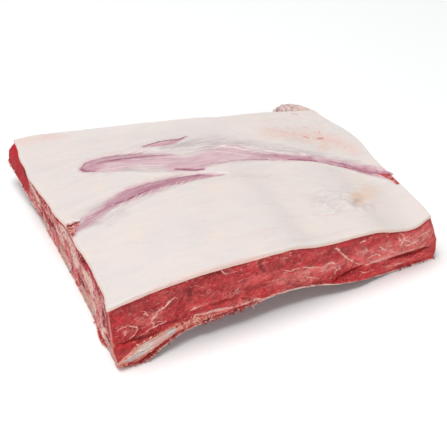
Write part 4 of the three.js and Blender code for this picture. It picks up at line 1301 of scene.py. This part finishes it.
def makeLeanMaterial(look):
    material, tree, place = startMaterial("Raw beef")
    pattern = partial(mask, tree, place)
    slant = addNode(tree, "ShaderNodeVectorRotate", {"Vector": place, "Angle": look["slant"]},
                    rotation_type="Y_AXIS")
    slanted = partial(mask, tree, slant)
    bundles = network(tree, place, 3.6, 0.5, 3)
    grain = slanted(2.6, (0.5, 0.64), (1.5, 1.5, 1), detail=5, seed=1, roughness=0.7)
    darkGrain = slanted(3.2, (0.47, 0.62), (1.3, 1.3, 1), detail=5, seed=2, roughness=0.7)
    laceArea = pattern(7, (0.3, 0.9), attribute="lace", wobble=1.5, detail=3, seed=4)
    lace = (network(tree, place, 7, 0.8, 9), laceArea)
    fineLace = (network(tree, place, 3, 0.6, 4), laceArea)
    marbling = (pattern(4.5, (0.54, 0.62), (1.8, 1, 1.2), detail=6, seed=22, roughness=0.7), laceArea)
    veinBreaks = pattern(4.5, (0.36, 0.5), detail=3, seed=23)
    veins = pattern(1.2, (0.33, 0.6), attribute="vein", wobble=0.9)
    veinTint = pattern(4, (0.35, 0.6), detail=3, seed=6)
    veinColour = paintOver(tree, look, "fleck", [(veinTint, "vein", 1)])
    cut = paintOver(tree, look, "base", [
        (pattern(22, (0.4, 0.62), (1.4, 1.4, 1)), "dark", 0.3),
        (pattern(6, (0.2, 0.85), (1.6, 1.6, 1), attribute="pale", wobble=1.2, detail=5), "pale", 0.85),
        (pattern(5, (0.25, 0.8), (1.6, 1.6, 1), attribute="bright", wobble=1.0), "bright", 0.75),
        (slanted(8, (0.5, 0.66), (1.5, 1.5, 1), detail=5, seed=16), "light", 0.5),
        (slanted(7, (0.46, 0.6), (1.5, 1.5, 1), detail=5, seed=15), "dark", 0.52),
        (darkGrain, "dark", 0.55),
        (grain, "light", 0.42),
        (slanted(1.3, (0.58, 0.68), (3, 3, 1), seed=17), "fine", 0.4),
        (bundles, "fine", 0.15),
        # painted shade: a darker band just under the fat's overhanging edge
        (pattern(3, (2.4, 0.6), attribute="fromTop", wobble=2.4, detail=3, seed=14), "dark", 0.5),
        # the meat's deeper red, and painted shade in the knife's step, the creases and the slit
        (pattern(3, (0.28, 0.8), (1.8, 1.8, 1), attribute="deepRedAndShade", wobble=0.8), "deepRedAndShade", 0.8),
        (fineLace, "fine", 0.55),
        (lace, "fleck", 0.6),
        (pattern(2.2, (0.62, 0.68), (1.6, 1, 1), seed=5), "fleck", 0.6),
        (marbling, veinColour, 0.65),
        (pattern(2.2, (0.1, 0.6), attribute="vein", wobble=0.7, seed=6), "fine", 0.5),
        ((veins, veinBreaks), veinColour, 0.92),
    ])
    dust = pattern(5, (0.22, 0.6), (1, 1, 1.6), attribute="pale", wobble=1.5, detail=5, seed=8,
                   roughness=0.7)
    sawnRed = pattern(6, (0.35, 0.65), (1, 1, 1.4), attribute="bright", wobble=1.6, detail=5, seed=9,
                      roughness=0.7)
    sawnDeep = pattern(4, (0.34, 0.6), (1, 1, 1.6), attribute="deepRedAndShade", wobble=1.5, detail=5, seed=10)
    specks = pattern(5, (0.54, 0.61), (1, 1, 1.4), detail=5, seed=11, roughness=0.68)
    crumbs = pattern(3.6, (0.56, 0.63), (1, 1, 1.5), detail=5, seed=12)
    sawn = paintOver(tree, look, "sawn", [
        (pattern(7, (0.42, 0.6), (1, 1, 1.4), detail=5, seed=7), "smear", 0.85),
        (pattern(9, (0.48, 0.62), (1, 1, 1.3), detail=5, seed=18), "flush", 0.85),
        (specks, "sawnRed", 0.9),
        (dust, "dust", 0.9),
        (crumbs, "dust", 0.6),
        (sawnRed, "sawnRed", 0.92),
        (sawnDeep, "speck", 0.9),
        (pattern(2.6, (0.57, 0.63), (1, 1, 1.6), seed=13), "fleshDot", 0.75),
        # painted shade: a jagged darker red band just under the fat's overhanging edge
        (pattern(3.4, (6, 2), (1, 1, 1.4), attribute="fromTop", wobble=5, seed=21), "sawnRed", 0.8),
    ])
    side = mask(tree, limits=(0.3, 0.7), attribute="sawn")
    # a pale line down the front left corner: a painted highlight on that edge
    corner = pattern(2.2, (1.5, 0.5), attribute="fromCorner", wobble=2.2, detail=3, seed=19)
    colour = paintOver(tree, look, cut, [(side, sawn, 1), (corner, "fleck", 0.7)])
    heights = [(grain, 0.16), (darkGrain, -0.14), (bundles, -0.06), (veins, 0.12), (lace, 0.1),
               (specks, -0.25), (crumbs, 0.2)]
    roughness = addNode(tree, "ShaderNodeMapRange", {"Value": side, "To Min": look["surface"]["Roughness"],
                                                     "To Max": look["sawnRoughness"]})
    return closeMaterial(material, colour, heights, {**look["surface"], "Roughness": roughness})


# Rib bone: cream outside with pinkish streaks, and a red spongy middle where it is sawn through.
boneLook = {
    "slope": 0.24,  # radians that the front bone rises along the foot
    "base": "#efdcd0", "grey": "#b9b0b6", "pink": "#e2a49b", "red": "#b8484a", "marrow": "#b0504c",
    "rim": "#e6cdb9", "fat": "#f0a795", "speck": "#7c2a2c", "flesh": "#c02f33", "fleshDark": "#84161d",
    "surface": surfaceOf(0.45, 0.4, 0.15, (2.0, 1.2, 0.8)),
}


def makeBoneMaterial(look):
    material, tree, place = startMaterial("Rib bone")
    pattern = partial(mask, tree, place)
    shaft = addNode(tree, "ShaderNodeVectorRotate", {"Vector": place, "Angle": look["slope"]},
                    rotation_type="Y_AXIS")
    lengthwise = partial(mask, tree, shaft)
    streaks = lengthwise(2.2, (0.47, 0.56), (14, 1, 1), detail=3)
    pits = pattern(1.1, (0.6, 0.68), (3, 1, 1), detail=3, seed=5)
    sponge = pattern(1.5, (0.42, 0.6), seed=3)
    onEnd = mask(tree, limits=(-0.9, -0.2), attribute="fromRim")
    specks = pattern(2.2, (0.57, 0.64), (1, 1, 2), seed=8)
    fleshDark = pattern(2.6, (0.48, 0.62), (1.8, 1, 1), seed=10)
    fleshColour = paintOver(tree, look, "flesh", [(fleshDark, "fleshDark", 0.7)])
    outside = paintOver(tree, look, "base", [
        (streaks, "grey", 0.85),
        (lengthwise(2.8, (0.5, 0.6), (9, 1, 1), seed=1), "pink", 0.7),
        (pattern(3, (0.3, 0.75), (1.6, 1, 1), attribute="fatSide", wobble=0.9, seed=4), "fat", 0.9),
        (lengthwise(2.6, (0.62, 0.7), (4, 1, 1), seed=2), "red", 0.6),
        (pattern(2.4, (0.35, 0.7), (1.6, 1, 1), attribute="flesh", wobble=1.1, seed=9), fleshColour, 0.95),
        (pits, "red", 0.35),
    ])
    spongy = paintOver(tree, look, "marrow", [(sponge, "pink", 0.8)])
    end = paintOver(tree, look, "rim", [
        (pattern(2.6, (1.0, 3.0), attribute="fromRim", wobble=2.2), spongy, 0.75),
        (pattern(3.6, (0.44, 0.6), (1, 1, 1.6), detail=5, seed=7), "pink", 0.75),
        (specks, "speck", 0.6),
    ])
    colour = paintOver(tree, look, outside, [(onEnd, end, 1)])
    heights = [(streaks, -0.16), (pits, -0.2), (sponge, 0.15), (specks, -0.2)]
    return closeMaterial(material, colour, heights, look["surface"])


# Rib membrane: a thin bluish skin over bone, dark red where only muscle lies behind it.
membraneLook = {
    "base": "#a8504f", "overBone": "#c39a9d", "between": "#7e222b", "fat": "#dcc4b6", "edge": "#f0cfc4",
    "red": "#c23a3a",
    "surface": surfaceOf(0.36, 0.5, 0.12, (2.2, 1.0, 0.8)),
}


def makeMembraneMaterial(look):
    material, tree, place = startMaterial("Rib membrane")
    pattern = partial(mask, tree, place)
    fat = pattern(11, (0.56, 0.68), (2, 1, 1), seed=1)
    between = pattern(4, (0.4, 0.65), (1, 4, 1), seed=2)
    side = pattern(3, (0.3, 0.7), attribute="onSide", wobble=0.9)
    ragged = pattern(3, (0.46, 0.62), (2.2, 2.2, 1), seed=4)
    colour = paintOver(tree, look, "base", [
        (between, "between", 0.8),
        (pattern(9, (0.3, 0.8), (2.5, 1, 1), attribute="overBone", wobble=0.8), "overBone", 0.85),
        (fat, "fat", 0.7),
        (pattern(2.5, (0.62, 0.7), (5, 1, 1), seed=3), "between", 0.4),
    ])
    skirt = paintOver(tree, look, "edge", [(ragged, "red", 0.6)])
    colour = paintOver(tree, look, colour, [(side, skirt, 1)])
    return closeMaterial(material, colour, [(between, 0.12), (ragged, 0.2), (fat, 0.25)], look["surface"])


# Loose connective tissue: a damp greyish purple scrap, yellow with fat at one end.
flapLook = {
    "base": "#d0b6b4", "dark": "#996f78", "fat": "#e2d0b6", "pale": "#eee4e2",
    "surface": surfaceOf(0.4, 0.45, 0.2, (2.5, 1.2, 0.9)),
}


def makeFlapMaterial(look):
    material, tree, place = startMaterial("Connective tissue")
    pattern = partial(mask, tree, place)
    low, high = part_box("corner_flap")
    across = addNode(tree, "ShaderNodeSeparateXYZ", {0: place}).outputs[0]
    toRight = addNode(tree, "ShaderNodeMapRange", {"Value": across, "From Min": (low.x + high.x) / 2 / mm,
                                                   "From Max": high.x / mm})
    folds = pattern(4, (0.42, 0.65), (1, 2, 1))
    pale = pattern(3, (0.55, 0.7), seed=1)
    colour = paintOver(tree, look, "base", [
        (folds, "dark", 0.7),
        (toRight, "fat", 0.6),
        (pale, "pale", 0.75),
    ])
    return closeMaterial(material, colour, [(folds, 0.3), (pale, 0.15)], look["surface"])


fatMaterial = makeTopMaterial("Beef fat", topLook, "surface")
muscleMaterial = makeTopMaterial("Surface muscle under a film", topLook, "muscleSurface")
leanMaterial = makeLeanMaterial(leanLook)
boneMaterial = makeBoneMaterial(boneLook)
membraneMaterial = makeMembraneMaterial(membraneLook)
flapMaterial = makeFlapMaterial(flapLook)
print("materials made")

finishPiece(fatPiece, fatMaterial, "fat", "fat_cap")
finishPiece(leanPiece, leanMaterial, "lean", "lean_main")
finishPiece(lowerPiece, leanMaterial, "lower_lean", "lean_lower")
finishPiece(membranePiece, membraneMaterial, "membrane", "underside_membrane")
finishPiece(flapPiece, flapMaterial, "connective_tissue", "corner_flap")
for node, piece in stripPieces.items():
    finishPiece(piece, muscleMaterial, "surface_muscle", node)
for node, piece in ribPieces.items():
    finishPiece(piece, boneMaterial, "bone", node)


# Shreds, fat grains and bone dust: each kind grows on its own seed points from one Geometry Nodes tree.
def castingTree(pieces):
    points, faces = [], []
    for piece in pieces:
        base = len(points)
        points += [vert.co.copy() for vert in piece.data.vertices]
        faces += [[base + i for i in face.vertices] for face in piece.data.polygons]
    return BVHTree.FromPolygons(points, faces)


def growthTree(name, shape, material):
    tree = bpy.data.node_groups.new(name, "GeometryNodeTree")
    tree.interface.new_socket("Seeds", in_out="INPUT", socket_type="NodeSocketGeometry")
    for label in ("Unevenness", "Grain"):
        tree.interface.new_socket(label, in_out="INPUT", socket_type="NodeSocketFloat")
    tree.interface.new_socket("Spin seed", in_out="INPUT", socket_type="NodeSocketInt")
    tree.interface.new_socket("Grown", in_out="OUTPUT", socket_type="NodeSocketGeometry")
    given = addNode(tree, "NodeGroupInput").outputs
    if shape == "tag":
        cone = {"Vertices": 6, "Side Segments": 5, "Radius Top": 0.15, "Radius Bottom": 1.0, "Depth": 1.0}
        bare = addNode(tree, "GeometryNodeMeshCone", cone, fill_type="TRIANGLE_FAN")
    else:
        bare = addNode(tree, "GeometryNodeMeshIcoSphere", {"Radius": 1.0, "Subdivisions": 1})
    facing, size = (addNode(tree, "GeometryNodeInputNamedAttribute", {"Name": label},
                            data_type="FLOAT_VECTOR") for label in ("facing", "size"))
    turn = addNode(tree, "FunctionNodeAlignRotationToVector", {"Vector": facing}, axis="Z")
    spin = addNode(tree, "FunctionNodeRandomValue", {2: 0.0, 3: math.tau, "Seed": given["Spin seed"]},
                   data_type="FLOAT")
    about = addNode(tree, "ShaderNodeCombineXYZ", {"Z": spin.outputs[1]})
    turned = addNode(tree, "FunctionNodeRotateRotation", {"Rotation": turn, "Rotate By": about},
                     rotation_space="LOCAL")
    placed = addNode(tree, "GeometryNodeInstanceOnPoints",
                     {"Points": given["Seeds"], "Instance": bare, "Rotation": turned, "Scale": size})
    whole = addNode(tree, "GeometryNodeRealizeInstances", {"Geometry": placed})
    at = addNode(tree, "GeometryNodeInputPosition")
    noise = addNode(tree, "ShaderNodeTexNoise", {"Vector": at, "Scale": given["Grain"], "Detail": 2.0})
    away = addNode(tree, "ShaderNodeVectorMath", {0: noise.outputs["Color"], 1: (0.5, 0.5, 0.5)},
                   operation="SUBTRACT")
    offset = addNode(tree, "ShaderNodeVectorMath", {0: away, "Scale": given["Unevenness"]}, operation="SCALE")
    moved = addNode(tree, "GeometryNodeSetPosition", {"Geometry": whole, "Offset": offset})
    painted = addNode(tree, "GeometryNodeSetMaterial", {"Geometry": moved, "Material": material})
    addNode(tree, "NodeGroupOutput", {"Grown": painted})
    return tree


def grow(name, seeds, shape, material, slot, inputs):  # seeds: place, facing, size (m) and tint of each
    places, facings, sizes, tints = zip(*seeds)
    mesh = bpy.data.meshes.new(name + "Seeds")
    mesh.from_pydata([tuple(place) for place in places], [], [])
    for label, values in {"facing": facings, "size": sizes, "tint": tints}.items():
        kind, key = ("FLOAT", "value") if label == "tint" else ("FLOAT_VECTOR", "vector")
        layer = mesh.attributes.new(label, kind, "POINT")
        layer.data.foreach_set(key, np.array(values, np.float32).ravel())
    rough = inScene(name + "Seeds", mesh)
    modifier = rough.modifiers.new("growth", "NODES")
    modifier.node_group = growthTree(name + "Growth", shape, material)
    for socket in modifier.node_group.interface.items_tree:
        if socket.in_out == "INPUT" and socket.name in inputs:
            modifier[socket.identifier] = inputs[socket.name]
    grown = bpy.data.meshes.new_from_object(rough.evaluated_get(bpy.context.evaluated_depsgraph_get()))
    rough.modifiers.remove(modifier)
    bpy.data.objects.remove(rough)
    places = np.zeros(len(grown.vertices) * 3)
    grown.vertices.foreach_get("co", places)
    places[2::3] = np.maximum(places[2::3], 0.1 * mm)  # nothing reaches below the ground
    grown.vertices.foreach_set("co", places)
    grown.shade_flat() if shape == "grain" else grown.shade_smooth()
    finishPiece(inScene(name, grown), material, slot)


bodyTree = castingTree([leanPiece, lowerPiece, membranePiece, *ribPieces.values()])
sideOutward = [(0, -1, 0), (1, 0, 0), (0, 1, 0), (-1, 0, 0)]
castFrom, castReach = 0.08, 0.14  # m: how far before its place a ray starts, and how far it goes


def surfaceAt(x, y, z, towards):  # the place and normal that a ray at mm from the front left corner meets
    start = Vector((cornerX + x * mm, cornerY + y * mm, z * mm)) - castFrom * Vector(towards)
    return bodyTree.ray_cast(start, Vector(towards), castReach)[:2]


# Shreds hang off the trimmed foot of the slab: runs from place to place around it, 0 to 4, with how many,
# the shortest and longest in mm, and the half thickness.
redShredValues = {
    "seed": 11,
    "runs": [(0.03, 0.17, 70, 1.2, 3.4, 0.45), (0.16, 0.26, 60, 1.2, 3.2, 0.55),
             (0.25, 0.42, 190, 1.6, 5.2, 0.7), (0.42, 0.88, 90, 0.7, 2.0, 0.38),
             (0.88, 1.06, 110, 0.9, 3.2, 0.5), (1.0, 2.0, 60, 0.8, 2.2, 0.4),
             (2.0, 3.0, 80, 0.8, 2.4, 0.4), (3.0, 4.0, 120, 0.8, 2.6, 0.45)],
    "rise": (0.4, 4.4),
    "inputs": {"Unevenness": 2.6 * mm, "Grain": 300.0, "Spin seed": 1},
}
paleShredValues = {
    "seed": 12,
    "runs": [(0.02, 0.17, 50, 1.0, 3.0, 0.4), (0.15, 0.3, 50, 1.0, 3.0, 0.5), (0.3, 0.39, 24, 1.2, 3.4, 0.4),
             (0.395, 0.43, 7, 3.4, 5.5, 0.55), (0.43, 0.62, 30, 0.8, 2.0, 0.4),
             (3.0, 4.0, 70, 0.8, 2.0, 0.4), (1.0, 3.0, 60, 0.8, 2.0, 0.4)],
    "rise": (0.2, 3.0),
    "inputs": {"Unevenness": 1.8 * mm, "Grain": 240.0, "Spin seed": 2},
}


def shredSeeds(values):
    chance = random.Random(values["seed"])
    seeds = []
    for start, end, count, shortest, longest, half in values["runs"]:
        for place in sorted(chance.uniform(start, end) for _ in range(count)):
            side = min(int(place), 3)
            away = Vector(sideOutward[side])
            along = Vector((away.y, -away.x, 0))
            foot = Vector(ringAt(rims["under"], np.array([min(place, 3.9999)]))[0])
            rise = chance.uniform(*values["rise"])
            root = foot - away * 0.4 * mm + Vector((0, 0, rise * mm))
            length = chance.uniform(shortest, longest) * mm
            facing = away * chance.uniform(0.1, 0.7) + along * chance.uniform(-1.6, 1.0)
            facing += Vector((0, 0, chance.uniform(-0.9, 0.15)))
            thick = half * chance.uniform(0.6, 1.7) * mm
            size = (thick, thick * chance.uniform(0.4, 0.9), length)
            seeds.append((root, facing.normalized(), size, chance.random()))
    return seeds


# Fat grains on the front foot beside the bone: lines through [mm along the face, mm above the ground,
# half width], and how many.
grainValues = {
    "seed": 21,
    "lines": [([(3, 10.4, 0.4), (8, 12, 0.3), (20, 15.4, 0.3), (34, 19.4, 0.3), (44, 22, 0.4),
                (52, 22.4, 1)], 100),
              ([(49, 18.6, 2.4), (56, 18.2, 3), (64, 18.4, 3), (72, 18.6, 2), (80, 17.6, 1)], 560),
              ([(1, 2.6, 1), (2.4, 4.8, 2.2), (5, 6.2, 2)], 150),
              ([(3, 3, 1.6), (9, 3.6, 1.8), (15, 4.6, 1.4), (22, 6.2, 0.8)], 190),
              ([(8, 4.4, 0.7), (20, 7.6, 0.6), (34, 11.2, 0.6), (46, 14.4, 0.8)], 60)],
    "smallest": 0.35,
    "largest": 1.1,
    "flatness": 0.55,
    "inputs": {"Unevenness": 0.9 * mm, "Grain": 420.0, "Spin seed": 3},
}


def grainSeeds(values):
    chance = random.Random(values["seed"])
    seeds = []
    for line, count in values["lines"]:
        for _ in range(count):
            k = chance.randrange(len(line) - 1)
            t = chance.random()
            x, z, half = (a + (b - a) * t for a, b in zip(line[k], line[k + 1]))
            x, z = x + chance.gauss(0, 0.5), z + chance.gauss(0, 0.55) * half
            place, normal = surfaceAt(x, 0, z, (0, 1, 0))
            if place is None:
                continue
            size = values["smallest"] + (values["largest"] - values["smallest"]) * chance.random() ** 2
            stretch = chance.uniform(0.8, 1.9)
            spread = (size * stretch * mm, size * mm, size * values["flatness"] * mm)
            seeds.append((place, normal, spread, chance.random()))
    return seeds


# Bone dust and meat crumbs that the saw left on the left face.
dustValues = {
    "seed": 31,
    "count": 1500,
    "heights": (1, 60),
    "end": 203,  # mm from the front left corner, past which the left face stays clean
    "smallest": 0.3,
    "largest": 0.9,
    "flatness": 0.3,
    "inputs": {"Unevenness": 0.3 * mm, "Grain": 700.0, "Spin seed": 4},
}


def dustSeeds(values):
    chance = random.Random(values["seed"])
    seeds = []
    for _ in range(values["count"]):
        y, z = chance.uniform(1, 224), chance.uniform(*values["heights"])
        size = (values["smallest"] + (values["largest"] - values["smallest"]) * chance.random() ** 3) * mm
        tint, stretch = chance.random(), chance.uniform(1, 2.2)
        place, normal = surfaceAt(0, y, z, (1, 0, 0))
        if place is None or normal.x > -0.5 or y > values["end"]:
            continue
        seeds.append((place, normal, (size * stretch, size, size * values["flatness"]), tint))
    return seeds


shredLooks = {
    "Torn muscle": {"low": "#8e1d26", "mid": "#c9353b", "high": "#e06660", "roughness": 0.38},
    "Torn membrane": {"low": "#dd8f86", "mid": "#efb7a8", "high": "#f6dccb", "roughness": 0.42},
    "Trimmed fat": {"low": "#da5a4a", "mid": "#f08b78", "high": "#fac6b2", "roughness": 0.45},
    "Bone dust": {"low": "#ab424a", "mid": "#dc8f8a", "high": "#f0cdbb", "roughness": 0.5},
}


def makeTintedMaterial(name, look):  # each grain or shred has its own tint, mottled a little along itself
    material, tree, place = startMaterial(name)
    pattern = partial(mask, tree, place)
    tint = pattern(2, (0, 1), attribute="tint", wobble=0.7, detail=3)
    stops = [(at, linear(look[tone])) for at, tone in ((0.15, "low"), (0.5, "mid"), (0.9, "high"))]
    ramp = addNode(tree, "ShaderNodeValToRGB", {"Fac": tint}, stops=stops)
    heights = [(pattern(0.8, (0.3, 0.7), detail=3, seed=1), 0.12)]
    surface = surfaceOf(look["roughness"], 0.4, 0.12, (1.6, 0.8, 0.6))
    return closeMaterial(material, ramp, heights, surface)


tinted = {name: makeTintedMaterial(name, look) for name, look in shredLooks.items()}
for name, seedsFor, shape, finish, slot, values in (
        ("footShreds", shredSeeds, "tag", "Torn muscle", "lower_lean", redShredValues),
        ("footFringe", shredSeeds, "tag", "Torn membrane", "membrane", paleShredValues),
        ("fatGrains", grainSeeds, "grain", "Trimmed fat", "fat", grainValues),
        ("boneDust", dustSeeds, "grain", "Bone dust", "bone", dustValues)):
    grow(name, seedsFor(values), shape, tinted[finish], slot, values["inputs"])
print("shreds and grains grown")


# Floor and studio light.
stageValues = {
    "floor": "#f6fafb",
    "world": 0.25,
    "lights": [
        {"name": "keyLight", "place": (-0.5, 0.08, 2.5), "size": 1.6, "power": 60, "colour": "#fffcfa"},
        {"name": "fillLight", "place": (0.1, -2.4, 1.2), "size": 1.4, "power": 11, "colour": "#ffffff"},
    ],
}


def makeStage(values):
    bpy.ops.mesh.primitive_plane_add(size=8, location=(0, 0, 0))
    floor = bpy.context.object
    floor.name = "studioFloor"
    material = bpy.data.materials.new("Studio floor")
    material.use_nodes = True
    shader = material.node_tree.nodes["Principled BSDF"]
    surface = {"Base Color": linear(values["floor"]), "Roughness": 0.9, "Specular IOR Level": 0.1}
    for socket, value in surface.items():
        shader.inputs[socket].default_value = value
    floor.data.materials.append(material)
    world = bpy.data.worlds.new("studioWorld")
    world.use_nodes = True
    background = world.node_tree.nodes["Background"]
    background.inputs["Strength"].default_value = values["world"]
    background.inputs["Color"].default_value = (1, 1, 1, 1)
    bpy.context.scene.world = world
    for light in values["lights"]:
        data = bpy.data.lights.new(light["name"], "AREA")
        data.shape = "DISK"
        data.size = light["size"]
        data.energy = light["power"]
        data.color = linear(light["colour"])[:3]
        aimAt(inScene(light["name"], data), light["place"], (0, 0, 0.02))


makeStage(stageValues)
bpy.context.scene.view_settings.view_transform = "Standard"
print("floor and lights made")
